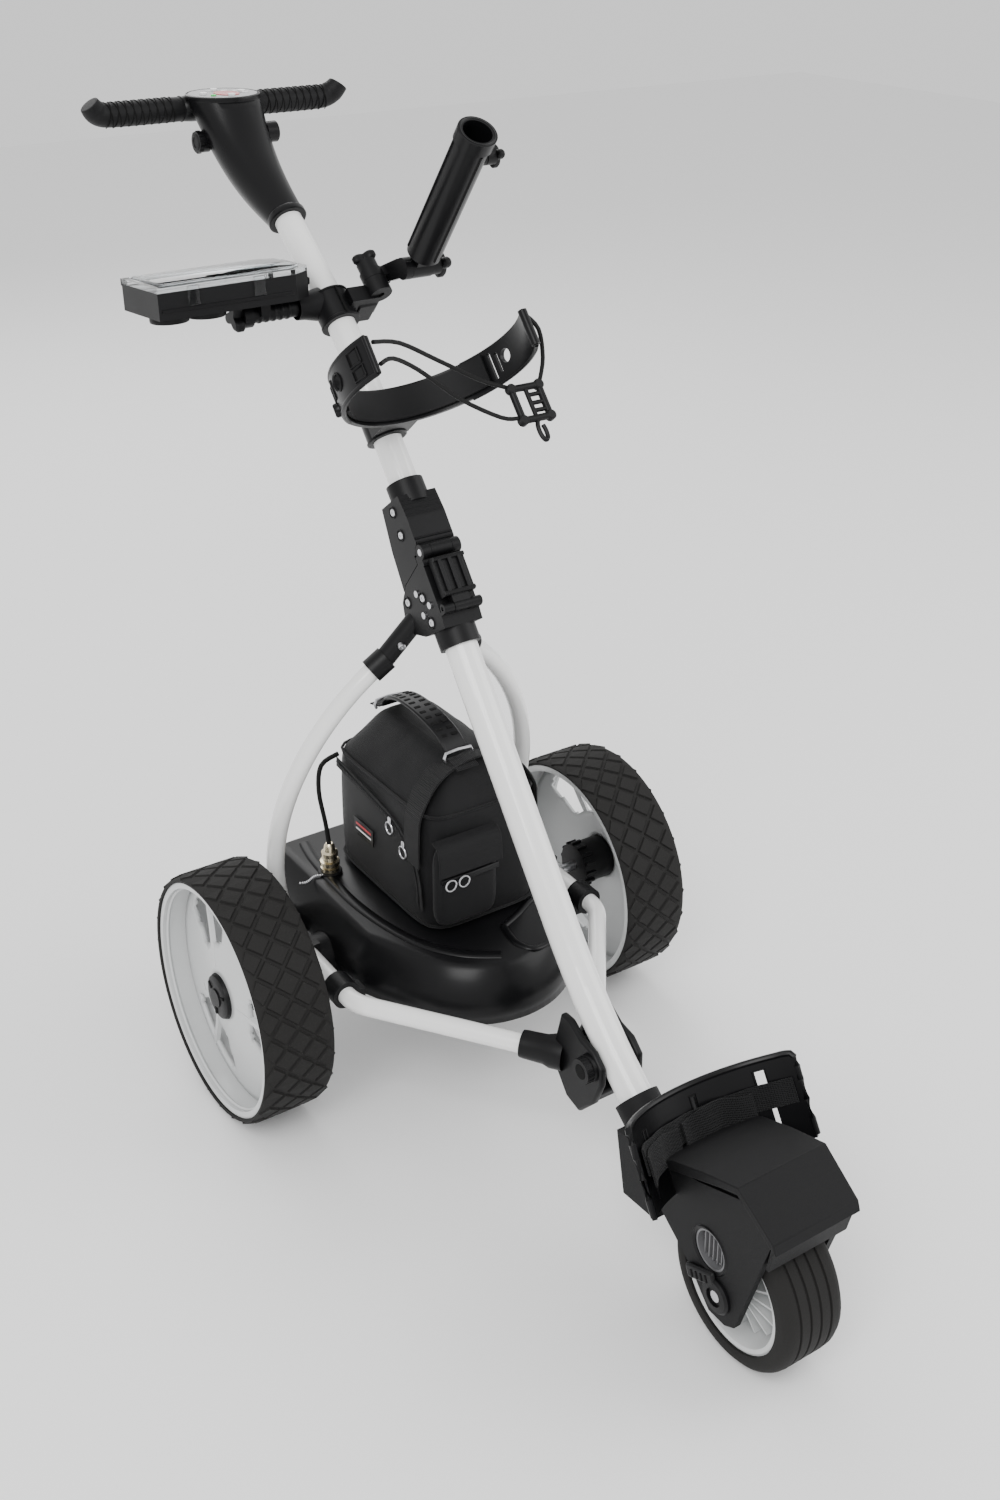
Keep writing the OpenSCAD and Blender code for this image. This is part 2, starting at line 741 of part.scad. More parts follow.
module panel_face()
    color(grey) at_axle() translate([0, panel_at[0], panel_at[1]]) difference() {
        cylinder(d = panel_d, h = panel_t);
        for (p = button_places)
            translate([p[0], p[1], -1]) cylinder(d = button_d + 2 * running, h = panel_t + 2);
    }

module panel_button(i)
    color(white) at_axle()
        translate([button_places[i][0], panel_at[0] + button_places[i][1], panel_at[1] + 1.5])
            cylinder(d = button_d, h = panel_t);

module side_knob(side, point)
    color(black) at_axle() on_side(side) {
        x_rod(22, 34, point, 6);
        x_rod(33, 48, point, knob_d);
    }

// ---------- accessories ----------
module shaft_clamp()
    color(black) at_axle() difference() {
        union() {
            on_slope(clamp_at, clamp_angle) {
                translate([0, 0, -20]) cylinder(d = upper_tube_d + 12, h = 40);
                translate([10, -30, -10]) cube([swivel_x - 10, 30, 20]);
            }
            x_rod(-45, -12, arm_at, 28);
            on_slope(swivel_at, clamp_angle) translate([swivel_x, 0, -10])
                cylinder(r = 14, h = 20);
        }
        shaft_room(0);
        x_rod(-46, -24, arm_at, 8 + 2 * running);
        on_slope(swivel_at, clamp_angle) translate([swivel_x, 0, -11])
            cylinder(d = 8 + 2 * running, h = 22);
    }

module at_score()
    translate([0, 200, 932]) rotate([-4.7, 0, 0]) children();

module score_arm()
    color(black) at_axle() {
        x_rod(-45.4, -26, arm_at, 8);
        x_rod(-104, -45.4, arm_at, 20);
        x_rod(-116, -104, arm_at, 28);
        at_score() translate([-96, -20, -34]) cube([12, 36, 18]);
    }

module score_outline(inset)
    polygon([[-232 + inset, -50 + inset], [-64 - inset / 2, -50 + inset],
             [-40 - inset, -32 + inset / 2], [-40 - inset, 32 - inset / 2],
             [-64 - inset / 2, 50 - inset], [-232 + inset, 50 - inset]]);

module score_tray()
    color(black) at_axle() at_score() {
        difference() {
            union() {
                translate([0, 0, -16]) linear_extrude(30) score_outline(0);
                for (x = [-205, -160])
                    translate([x, -12, -24]) cylinder(d = 44, h = 9);
            }
            translate([0, 0, -13]) linear_extrude(40) score_outline(3);
            for (x = [-205, -160])
                translate([x, -12, -21]) cylinder(d = 38, h = 12);
        }
        for (x = [-230, -64]) difference() {
            translate([x, 49, 11]) cube([8, 9, 8]);
            x_rod(x - 1, x + 9, lid_pin, 3 + 2 * running);
        }
    }

module score_lid()
    color(grey) at_axle() at_score() {
        difference() {
            translate([0, 0, 14.4]) linear_extrude(5.6) score_outline(0);
            for (x = [-231, -65]) translate([x, 44, 10]) cube([10, 10, 12]);
        }
        translate([-220, 47, 14.4]) cube([154, 7, 4]);
        x_rod(-221, -65, lid_pin, 7);
        x_rod(-229, -57, lid_pin, 3);
    }

module umbrella_swivel()
    color(black) at_axle() {
        on_slope(swivel_at, clamp_angle) translate([swivel_x, 0, 0]) {
            translate([0, 0, -8]) cylinder(d = 8, h = 20);
            translate([0, 0, 10.4]) cylinder(r = 14, h = 12);
            translate([0, 0, 22.4]) cylinder(r = 12, h = 14);
            translate([0, -10, 10.4]) cube([24.5, 20, 12]);
        }
        side_cut(swivel_x + 15.5, 9)
            polygon([[120, 938], [122, 954], [142, 954], [180, 938], [166, 922]]);
        x_rod(swivel_x + 15.5, swivel_x + 24.5, tilt_at, 26);
        x_rod(swivel_x + 24, 100, tilt_at, 8);
        x_rod(99.4, 112, tilt_at, 24);
    }

module on_umbrella()
    translate([umbrella_x, tilt_at[0], tilt_at[1]]) rotate([umbrella_lean, 0, 0]) children();

module umbrella_tube()
    color(black) at_axle() difference() {
        union() {
            x_rod(swivel_x + 24.9, 99, tilt_at, 26);
            on_umbrella() {
                translate([-9, -9, 0]) cube([18, 18, 26]);
                translate([0, 0, 24]) cylinder(d = umbrella_d, h = umbrella_l);
                translate([0, 0, 24 + umbrella_l - 16]) cylinder(d = umbrella_d + 5, h = 16);
            }
        }
        x_rod(0, 140, tilt_at, 8 + 2 * running);
        on_umbrella() {
            translate([0, 0, 32]) cylinder(d = umbrella_bore, h = umbrella_l);
            translate([0, 0, screw_up]) rotate([0, 90, 0]) cylinder(d = 6 + 2 * running, h = 40);
        }
    }

module umbrella_screw()
    color(black) at_axle() on_umbrella() translate([0, 0, screw_up]) rotate([0, 90, 0]) {
        translate([0, 0, umbrella_bore / 2 + 0.4]) cylinder(d = 6, h = 12);
        translate([0, 0, umbrella_d / 2 + 3.2]) cylinder(d = 20, h = 12);
    }

module on_cradle()
    on_slope(cradle_at, shaft_angle) translate([0, -cradle_offset, 0]) children();

module upper_cradle()
    color(black) at_axle() difference() {
        union() {
            on_cradle() arc_wall(cradle_r, 5, cradle_half_angle, -cradle_h / 2, cradle_h);
            on_slope(cradle_at, shaft_angle) {
                translate([-24, -46, -20]) cube([48, 36, 40]);
                translate([0, 0, -22]) cylinder(d = upper_tube_d + 12, h = 44);
            }
        }
        shaft_room(0);
        on_cradle() {
            cylinder(r = cradle_r, h = 60, center = true, $fn = 120);
            for (a = [-84, 78]) rotate([0, 0, -a]) translate([0, cradle_r - 6, 2])
                rotate([-90, 0, 0]) cylinder(d = 16, h = 20);
            arc_slot(cradle_r, 66, -16, 4, 32);
            arc_slot(cradle_r, 71, -12, 4, 24);
        }
    }

module cradle_band()
    color(rubber) at_axle() on_cradle() arc_wall(cradle_r - 5, 4, 62, -18, 36);

module elastic_cord()
    color(rubber) at_axle() on_slope(cradle_at, shaft_angle)
        for (route = cord_points) cord(smooth(route, 4), 5);

module cord_hook()
    color(black) at_axle() on_slope(cradle_at, shaft_angle) {
        difference() {
            translate([buckle_at[0], buckle_at[1], -92]) cube([44, 9, 46]);
            translate([buckle_at[0] + 5, buckle_at[1] - 1, -86]) cube([14, 11, 34]);
        }
        translate([buckle_at[0] + 18, buckle_at[1] + 1, -116]) cube([9, 6, 26]);
    }

lower_tube();
hoop_tube(-1);  // hoop_tube_left
hoop_tube(1);  // hoop_tube_right
side_tube(-1);  // side_tube_left
side_tube(1);  // side_tube_right
hinge_base();
hinge_pins();
front_bracket();
side_collars();
motor_tray();
axle_housing();
drive_units();
controller();
tray_socket();
fork_housing();
front_axle();
bag_plate();
frame_screws();
lower_strap();
battery_bag();
battery();
battery_lead();
lead_plug();
bracket_knob();
rear_tyre(-1);  // tyre_left
rear_rim(-1);  // rim_left
rear_hub(-1);  // hub_left
hub_button(-1);  // hub_button_left
drive_shaft(-1);  // drive_shaft_left
rear_tyre(1);  // tyre_right
rear_rim(1);  // rim_right
rear_hub(1);  // hub_right
hub_button(1);  // hub_button_right
drive_shaft(1);  // drive_shaft_right
front_tyre();
front_rim();
latch_lever();
upper_tube();
hinge_head();
head_shell();
handle_bar();
grips();
panel_face();
shaft_clamp();
upper_cradle();
cradle_band();
elastic_cord();
cord_hook();
panel_button(0);  // select_button
panel_button(1);  // up_button
panel_button(2);  // down_button
panel_button(3);  // timer_button
side_knob(1, knob_right_at);  // speed_knob
side_knob(-1, knob_left_at);  // mode_knob
score_arm();
score_tray();
score_lid();
umbrella_swivel();
umbrella_tube();
umbrella_screw();
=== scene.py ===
import bpy
import bmesh
import json
import math
from mathutils import Matrix, Vector
from mathutils.geometry import convex_hull_2d


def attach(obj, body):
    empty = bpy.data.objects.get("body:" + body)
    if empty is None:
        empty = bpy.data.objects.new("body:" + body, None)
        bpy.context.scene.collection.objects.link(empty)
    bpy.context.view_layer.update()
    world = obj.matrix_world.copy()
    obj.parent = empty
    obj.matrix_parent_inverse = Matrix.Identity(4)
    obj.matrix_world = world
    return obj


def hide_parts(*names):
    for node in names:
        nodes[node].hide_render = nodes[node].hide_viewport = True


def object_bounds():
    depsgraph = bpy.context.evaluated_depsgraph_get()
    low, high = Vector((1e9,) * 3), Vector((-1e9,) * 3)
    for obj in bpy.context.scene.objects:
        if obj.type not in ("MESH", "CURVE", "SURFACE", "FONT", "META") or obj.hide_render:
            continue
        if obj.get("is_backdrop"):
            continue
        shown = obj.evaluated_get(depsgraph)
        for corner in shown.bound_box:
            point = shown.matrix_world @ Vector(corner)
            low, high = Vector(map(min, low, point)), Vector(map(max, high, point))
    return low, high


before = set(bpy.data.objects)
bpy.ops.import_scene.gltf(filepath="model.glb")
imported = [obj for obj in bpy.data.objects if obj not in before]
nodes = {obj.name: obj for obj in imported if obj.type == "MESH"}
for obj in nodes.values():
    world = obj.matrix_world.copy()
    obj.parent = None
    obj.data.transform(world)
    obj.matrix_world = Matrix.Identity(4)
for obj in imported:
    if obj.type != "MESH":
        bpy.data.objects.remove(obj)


def as_lists(b):
    return json.loads(json.dumps(b, default=lambda v: [float(x) for x in v]))


before = as_lists(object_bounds())
AXLE = 104.0      # mm from the origin back to the rear axle
sin, cos, rad = math.sin, math.cos, math.radians


def P(x, y, z):
    """A point in mm, with y measured from the rear axle."""
    return Vector((x / 1000, (y + AXLE) / 1000, z / 1000))


# ---------- camera, light and floor ----------
cam_data = bpy.data.cameras.new("camera")
cam = bpy.data.objects.new("camera", cam_data)
bpy.context.collection.objects.link(cam)
cam.location = P(-968, -1615.6, 1415.4)
cam.rotation_euler = (rad(90 - 22.2237), 0, rad(-33.7787))
cam_data.lens = 42.5
cam_data.shift_y = -0.1312
bpy.context.scene.camera = cam


def lamp(name, place, aim, size, power):
    data = bpy.data.lights.new(name, "AREA")
    data.size = size
    data.energy = power
    o = bpy.data.objects.new(name, data)
    bpy.context.collection.objects.link(o)
    o.location = place
    o.rotation_euler = (Vector(aim) - Vector(place)).to_track_quat("-Z", "Y").to_euler()


lamp("key", (-2.2, -2.0, 3.2), (0, 0, 0.5), 2.2, 110)
lamp("fill", (2.8, -1.6, 2.2), (0, 0, 0.4), 2.6, 60)
lamp("back", (0.5, 3.0, 2.6), (0, 0, 0.6), 2.4, 45)
world = bpy.data.worlds.new("world")
bpy.context.scene.world = world
world.use_nodes = True
world.node_tree.nodes["Background"].inputs[0].default_value = (1, 1, 1, 1)
world.node_tree.nodes["Background"].inputs[1].default_value = 1.0


# ---------- materials ----------
def material(name, color, rough, metal=0.0, bump=0.0, scale=900.0, coat=0.0, vary=0.0):
    m = bpy.data.materials.new(name)
    m.use_nodes = True
    t = m.node_tree
    s = t.nodes["Principled BSDF"]
    s.inputs["Base Color"].default_value = (*color, 1)
    s.inputs["Roughness"].default_value = rough
    s.inputs["Metallic"].default_value = metal
    s.inputs["Coat Weight"].default_value = coat
    s.inputs["Specular IOR Level"].default_value = 0.2 if max(color) < 0.1 else 0.5
    where = t.nodes.new("ShaderNodeTexCoord").outputs["Object"]
    if bump:
        n = t.nodes.new("ShaderNodeTexNoise")
        n.inputs["Scale"].default_value = scale
        n.inputs["Detail"].default_value = 3
        b = t.nodes.new("ShaderNodeBump")
        b.inputs["Strength"].default_value = bump
        b.inputs["Distance"].default_value = 0.0006
        t.links.new(where, n.inputs["Vector"])
        t.links.new(n.outputs["Fac"], b.inputs["Height"])
        t.links.new(b.outputs["Normal"], s.inputs["Normal"])
    if vary:
        n = t.nodes.new("ShaderNodeTexNoise")
        n.inputs["Scale"].default_value = 14
        r = t.nodes.new("ShaderNodeMapRange")
        r.inputs["To Min"].default_value = max(0.02, rough - vary)
        r.inputs["To Max"].default_value = min(1.0, rough + vary)
        t.links.new(where, n.inputs["Vector"])
        t.links.new(n.outputs["Fac"], r.inputs["Value"])
        t.links.new(r.outputs["Result"], s.inputs["Roughness"])
    return m


def weave(name, color, rough, pitch, strength):
    """Woven cloth: two sets of fine ribs that cross."""
    m = material(name, color, rough)
    t = m.node_tree
    s = t.nodes["Principled BSDF"]
    s.inputs["Sheen Weight"].default_value = 0.06
    s.inputs["Sheen Roughness"].default_value = 0.4
    where = t.nodes.new("ShaderNodeTexCoord").outputs["Object"]
    heights = []
    for axis in ("X", "Y", "Z"):
        w = t.nodes.new("ShaderNodeTexWave")
        w.bands_direction = axis
        w.inputs["Scale"].default_value = pitch
        t.links.new(where, w.inputs["Vector"])
        heights.append(w.outputs["Fac"])
    total = heights[0]
    for height in heights[1:]:
        both = t.nodes.new("ShaderNodeMath")
        both.operation = "ADD"
        t.links.new(total, both.inputs[0])
        t.links.new(height, both.inputs[1])
        total = both.outputs[0]
    b = t.nodes.new("ShaderNodeBump")
    b.inputs["Strength"].default_value = strength
    b.inputs["Distance"].default_value = 0.0008
    t.links.new(total, b.inputs["Height"])
    t.links.new(b.outputs["Normal"], s.inputs["Normal"])
    return m


BLACK = material("black plastic", (0.004, 0.004, 0.0045), 0.42, bump=0.25, vary=0.08)
SATIN = material("smooth black plastic", (0.004, 0.004, 0.0045), 0.3, bump=0.06, vary=0.06)
HOOD = material("textured black plastic", (0.005, 0.005, 0.0055), 0.6, bump=0.4, scale=1400)
WHITE = material("white paint", (0.84, 0.84, 0.83), 0.2, coat=0.5)
RIM = material("light grey plastic", (0.56, 0.57, 0.57), 0.3, bump=0.05, vary=0.05)
TYRE = material("tyre rubber", (0.013, 0.0125, 0.012), 0.72, bump=0.5, scale=500)
GRIP = material("grip rubber", (0.005, 0.005, 0.0055), 0.55, bump=0.3, scale=1600)
CORD = material("cord rubber", (0.006, 0.006, 0.006), 0.6, bump=0.4, scale=2500)
GREY = material("mid grey plastic", (0.12, 0.12, 0.125), 0.35, bump=0.05)
STEEL = material("steel", (0.62, 0.62, 0.64), 0.28, metal=1.0)
BRASS = material("nickel", (0.70, 0.62, 0.45), 0.25, metal=1.0)
# real colour of the dark hoop screws and the clamp seam, and painted shade in the notches, slots,
# holes, bores, recesses and grip grooves
DARK_AND_SHADE = material("dark recess", (0.002, 0.002, 0.002), 0.8)
PANEL = material("panel grey", (0.16, 0.165, 0.17), 0.35)
BUTTON = material("button white", (0.8, 0.8, 0.8), 0.35)
RED = material("panel red", (0.45, 0.02, 0.03), 0.35)
GREEN = material("green lamp", (0.05, 0.6, 0.12), 0.2)
NYLON = weave("black nylon", (0.003, 0.003, 0.0036), 0.55, 420, 0.35)
WEB = weave("black webbing", (0.006, 0.006, 0.0065), 0.7, 160, 0.7)
CLEAR = material("clear plastic", (0.92, 0.94, 0.95), 0.05, coat=0.3)
CLEAR.node_tree.nodes["Principled BSDF"].inputs["Transmission Weight"].default_value = 1.0
CLEAR.node_tree.nodes["Principled BSDF"].inputs["IOR"].default_value = 1.3

FLOOR = material("floor", (0.93, 0.93, 0.93), 0.7)
bpy.ops.mesh.primitive_plane_add(size=14, location=(0, 0, -0.0005))
floor = bpy.context.object
floor.name = "floor"
floor.data.materials.append(FLOOR)
floor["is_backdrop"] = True

LOOK = {
    BLACK: "hinge_base hinge_head front_bracket side_collars axle_housing shaft_clamp "
           "bracket_knob latch_lever hub_left hub_right hub_button_left hub_button_right "
           "cord_hook score_arm score_tray umbrella_swivel umbrella_screw",
    SATIN: "motor_tray head_shell upper_cradle bag_plate umbrella_tube speed_knob mode_knob",
    HOOD: "fork_housing",
    WHITE: "lower_tube hoop_tube_left hoop_tube_right side_tube_left side_tube_right upper_tube",
    STEEL: "hinge_pins drive_units front_axle frame_screws handle_bar drive_shaft_left "
           "drive_shaft_right",
    BRASS: "tray_socket lead_plug",
    RIM: "rim_left rim_right front_rim controller battery",
    TYRE: "tyre_left tyre_right front_tyre",
    GRIP: "grips cradle_band",
    CORD: "elastic_cord battery_lead",
    NYLON: "battery_bag lower_strap",
    PANEL: "panel_face",
    BUTTON: "select_button up_button down_button timer_button",
    CLEAR: "score_lid",
}
for look, names in LOOK.items():
    for name in names.split():
        nodes[name].data.materials.clear()
        nodes[name].data.materials.append(look)


# ---------- shape helpers ----------
def add(name, verts, faces, mat, body, stands_for=(), smooth=35, solid=0.0, bevel=0.0,
        level=0, offset=0.0):
    name = name.replace(" ", "_")
    data = bpy.data.meshes.new(name)
    data.from_pydata([tuple(v) for v in verts], [], faces)
    bm = bmesh.new()
    bm.from_mesh(data)
    bmesh.ops.remove_doubles(bm, verts=bm.verts, dist=1e-6)
    bmesh.ops.recalc_face_normals(bm, faces=bm.faces)
    bm.to_mesh(data)
    bm.free()
    o = bpy.data.objects.new(name, data)
    bpy.context.collection.objects.link(o)
    data.materials.append(mat)
    for p in data.polygons:
        p.use_smooth = True
    data.set_sharp_from_angle(angle=rad(smooth))
    if solid:
        m = o.modifiers.new("wall", "SOLIDIFY")
        m.thickness = solid / 1000
        m.offset = offset
    if bevel:
        m = o.modifiers.new("edge", "BEVEL")
        m.width = bevel / 1000
        m.segments = 3
        m.limit_method = "ANGLE"
        m.angle_limit = rad(32)
        m.harden_normals = False
    if level:
        m = o.modifiers.new("round", "SUBSURF")
        m.levels = level
        m.render_levels = level
    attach(o, body)
    if stands_for:
        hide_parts(*([stands_for] if isinstance(stands_for, str) else stands_for))
    return o


def skin(rings, closed=True, caps=True):
    """Faces between rings of equal length, as one vertex list and one face list."""
    n = len(rings[0])
    verts = [v for r in rings for v in r]
    faces = []
    for i in range(len(rings) - 1):
        for k in range(n if closed else n - 1):
            j = (k + 1) % n
            faces.append((i * n + k, i * n + j, (i + 1) * n + j, (i + 1) * n + k))
    if caps:
        faces.append(tuple(range(n - 1, -1, -1)))
        faces.append(tuple((len(rings) - 1) * n + k for k in range(n)))
    return verts, faces


def smooth_path(points, steps=8):
    pts = [Vector(p) for p in points]
    out = []
    for i in range(len(pts) - 1):
        a, b, c, d = pts[max(i - 1, 0)], pts[i], pts[i + 1], pts[min(i + 2, len(pts) - 1)]
        for k in range(steps):
            t = k / steps
            out.append(0.5 * (2 * b + (c - a) * t + (2 * a - 5 * b + 4 * c - d) * t * t
                              + (3 * b - a - 3 * c + d) * t ** 3))
    out.append(pts[-1])
    return out


def sweep(name, points, profile, mat, body, up=(0, 0, 1), steps=8, **more):
    """A profile of [side, up] offsets in mm carried along points."""
    path = smooth_path(points, steps) if steps else [Vector(p) for p in points]
    rings = []
    for i, p in enumerate(path):
        t = (path[min(i + 1, len(path) - 1)] - path[max(i - 1, 0)]).normalized()
        side = t.cross(Vector(up))
        side.normalize()
        top = side.cross(t)
        rings.append([p + side * (a / 1000) + top * (b / 1000) for a, b in profile])
    return add(name, *skin(rings), mat, body, **more)


def circle(r, n=16, flat=1.0):
    return [(r * cos(2 * math.pi * k / n), r * flat * sin(2 * math.pi * k / n))
            for k in range(n)]


def band(w, t):
    e = min(w, t) * 0.3
    return [(-w / 2, -t / 2 + e), (-w / 2 + e, -t / 2), (w / 2 - e, -t / 2), (w / 2, -t / 2 + e),
            (w / 2, t / 2 - e), (w / 2 - e, t / 2), (-w / 2 + e, t / 2), (-w / 2, t / 2 - e)]


def turned(name, place, axis, profile, mat, body, n=72, spin=0.0, **more):
    """Turns a profile of [radius, distance] in mm about an axis through a place."""
    z = Vector(axis).normalized()
    x = z.orthogonal().normalized()
    y = z.cross(x)
    rings = []
    for r, d in profile:
        rings.append([place + z * (d / 1000) + (x * cos(spin + 2 * math.pi * k / n)
                      + y * sin(spin + 2 * math.pi * k / n)) * (r / 1000) for k in range(n)])
    verts, faces = skin(rings, caps=False)
    if profile[0] != profile[-1]:
        faces.append(tuple(range(n - 1, -1, -1)))
        faces.append(tuple((len(rings) - 1) * n + k for k in range(n)))
    return add(name, verts, faces, mat, body, **more)


def slab(name, outline, x0, x1, mat, body, **more):
    """A [y, z] outline made solid from x0 to x1."""
    a = [P(x0, y, z) for y, z in outline]
    b = [P(x1, y, z) for y, z in outline]
    return add(name, *skin([a, b]), mat, body, **more)


def block(name, place, size, mat, body, turn=(0, 0, 0), bevel=1.0, **more):
    m = Matrix.Rotation(rad(turn[2]), 3, "Z") @ Matrix.Rotation(rad(turn[1]), 3, "Y") \
        @ Matrix.Rotation(rad(turn[0]), 3, "X")
    v = [place + m @ Vector((sx * size[0] / 2000, sy * size[1] / 2000, sz * size[2] / 2000))
         for sx in (-1, 1) for sy in (-1, 1) for sz in (-1, 1)]
    f = [(0, 1, 3, 2), (4, 6, 7, 5), (0, 4, 5, 1), (2, 3, 7, 6), (0, 2, 6, 4), (1, 5, 7, 3)]
    return add(name, v, f, mat, body, bevel=bevel, **more)


def slope(point, angle):
    """Maps [x, forward, up] in mm on a slope in the middle plane to a point."""
    def at(x, forward, up):
        return P(x, point[0] + up * cos(rad(angle)) - forward * sin(rad(angle)),
                 point[1] + up * sin(rad(angle)) + forward * cos(rad(angle)))
    at.up = Vector((0, cos(rad(angle)), sin(rad(angle))))
    at.forward = Vector((0, -sin(rad(angle)), cos(rad(angle))))
    return at


X = Vector((1, 0, 0))


# ---------- wheels ----------
def rear_wheel(side, word):
    body = word + "_wheel"
    c = P(253 * side, 0, 150)
    ax = X * side
    y, z = Vector((0, 1, 0)), Vector((0, 0, 1))

    def on(r, a, d):
        return c + ax * (d / 1000) + (y * cos(a) + z * sin(a)) * (r / 1000)

    tread = [(141.6, -43), (144.5, -44), (146.3, -41.5), (147.2, -37), (147.4, 0), (147.2, 37),
             (146.3, 41.5), (144.5, 44), (141.6, 43), (141.6, -43)]
    turned("tyre " + word, c, ax, tread, TYRE, body, n=120, stands_for="tyre_" + word)
    verts, faces = [], []
    rows, count = 5, 27
    half_w, half_a = 8.0, math.pi / count * 0.86
    for row in range(rows):
        d = (row - (rows - 1) / 2) * 17.4
        for k in range(count):
            a = 2 * math.pi * (k + 0.5 * (row % 2)) / count
            b = len(verts)
            for r, s in ((146.9, 1.0), (149.7, 0.86)):
                for dd, da in ((-half_w, 0), (0, -half_a), (half_w, 0), (0, half_a)):
                    verts.append(on(r if abs(d + dd * s) < 40 else r - 2.2, a + da * s,
                                    max(-43.5, min(43.5, d + 1.95 * dd * s))))
            faces += [(b, b + 1, b + 2, b + 3), (b + 4, b + 7, b + 6, b + 5)]
            faces += [(b + i, b + 4 + i, b + 4 + (i + 1) % 4, b + (i + 1) % 4) for i in range(4)]
    add("tread " + word, verts, faces, TYRE, body)

    # dished web with three wide windows between broad spokes
    barrel = [(141.4, -41), (141.4, 41), (138.5, 42), (134, 41), (135.5, 20), (136, -10),
              (135.5, -30), (133, -41), (138.5, -42), (141.4, -41)]
    turned("rim barrel " + word, c, ax, barrel, RIM, body, n=120, stands_for="rim_" + word)
    radii = [27, 34, 44, 54, 62, 66, 74, 84, 94, 104, 112, 117, 121, 128, 136.2]

    def depth(r):
        return 25 - 17 * ((r - 27) / 109) ** 0.8

    steps = 144
    grid = [[on(r, 2 * math.pi * k / steps, depth(r)) for k in range(steps)] for r in radii]
    flat = [v for ring in grid for v in ring]
    cells = []
    for i in range(len(radii) - 1):
        mid = (radii[i] + radii[i + 1]) / 2
        for k in range(steps):
            a = ((360 * (k + 0.5) / steps) - 60) % 120
            off = min(abs(a), abs(a - 120))
            inside = 62 < mid < 121
            reach = 26 + (mid - 90) * 0.04
            corner = max(0, 68 - mid) + max(0, mid - 115) * 1.2
            if inside and off < reach - corner:
                continue
            j = (k + 1) % steps
            cells.append((i * steps + k, i * steps + j, (i + 1) * steps + j, (i + 1) * steps + k))
    add("rim web " + word, flat, cells, RIM, body, solid=5)
    for s in range(3):
        a = math.pi / 3 + s * 2 * math.pi / 3
        rib = [[on(r, a + da, depth(r) + d) for da, d in
                ((-5 / r, -1), (-3 / r, 3.2), (3 / r, 3.2), (5 / r, -1))] for r in (36, 80, 133)]
        add("spoke ridge %s %d" % (word, s), *skin(rib), RIM, body)
    lip = [(131.5, 35), (133, 37), (135, 36), (136, 30), (131.5, 35)]
    turned("rim lip %s" % word, c, ax, lip, RIM, body, n=120)

    # hub with a notched cap
    hub = [(27.8, -23), (27.8, 28), (26, 32), (22, 33.8), (11.2, 33.8), (11.2, 24), (6.1, 24),
           (6.1, -24), (24, -24), (27.8, -23)]
    turned("hub body " + word, c, ax, hub, BLACK, body, stands_for="hub_" + word)
    for k in range(14):
        a = 2 * math.pi * k / 14
        block("hub tooth %s %d" % (word, k), on(28.5, a, -15), (14, 5, 4.5), BLACK, body,
              turn=(math.degrees(a), 0, 0), bevel=0.6)
    # the cap's notches are dark blocks laid on the cap: painted shade in the notches
    for k in range(3):
        a = 2 * math.pi * k / 3 + 0.6
        block("cap notch %s %d" % (word, k), on(18, a, 34.2), (1.6, 9, 4), DARK_AND_SHADE, body,
              turn=(math.degrees(a), 0, 0), bevel=0.3)


for side, word in ((-1, "left"), (1, "right")):
    rear_wheel(side, word)

FRONT = P(0, -628, 87)
front_profile = [(67.6, -37)]
front_profile += [(72, -38), (79, -37.2), (83.6, -33.5), (86.2, -28)]
for d in (-21, -8, 5, 18):
    front_profile += [(86.9, d - 1.6), (85.2, d - 0.9), (85.2, d + 0.9), (86.9, d + 1.6)]
front_profile += [(86.2, 28), (83.6, 33.5), (79, 37.2), (72, 38), (67.6, 37), (67.6, -37)]
turned("front tyre", FRONT, X, front_profile, TYRE, "front_wheel", n=120,
       stands_for="front_tyre")
rim = [(67.4, -34), (67.4, 34), (65, 35), (61, 34), (57, 26), (53, 8), (53, -8), (57, -26),
       (61, -34), (65, -35), (67.4, -34)]
turned("front rim barrel", FRONT, X, rim, RIM, "front_wheel", n=96, stands_for="front_rim")
hub = [(6.1, -37), (13, -37), (15, -30), (17, -8), (17, 8), (15, 30), (13, 37), (6.1, 37),
       (6.1, -37)]
turned("front hub", FRONT, X, hub, RIM, "front_wheel", n=48)
for k in range(16):
    a = 2 * math.pi * k / 16
    u = Vector((0, cos(a), sin(a)))
    v = Vector((0, -sin(a), cos(a)))
    fin = []
    for r, w in ((15, 26), (54, 18)):
        fin.append([FRONT + u * (r / 1000) + X * (s * w / 1000) + v * (t * 1.2 / 1000)
                    for s, t in ((-1, -1), (1, -1), (1, 1), (-1, 1))])
    add("front fin %d" % k, *skin(fin), RIM, "front_wheel")
disc = [(16, -1.5), (54, -1.5), (54, 1.5), (16, 1.5), (16, -1.5)]
turned("front web", FRONT, X, disc, RIM, "front_wheel", n=72)

# ---------- battery bag ----------
BAG = "battery_pack"


def soft_ring(cx, cy, hw, hl, z, power=7.0, n=64, ripple=0.0):
    ring = []
    for k in range(n):
        a = 2 * math.pi * k / n
        c, s = cos(a), sin(a)
        r = 1 / ((abs(c) / hw) ** power + (abs(s) / hl) ** power) ** (1 / power)
        r += ripple * sin(5 * a + z * 0.11) + ripple * 0.6 * sin(9 * a - z * 0.07)
        ring.append(P(cx + r * c, cy + r * s, z))
    return ring


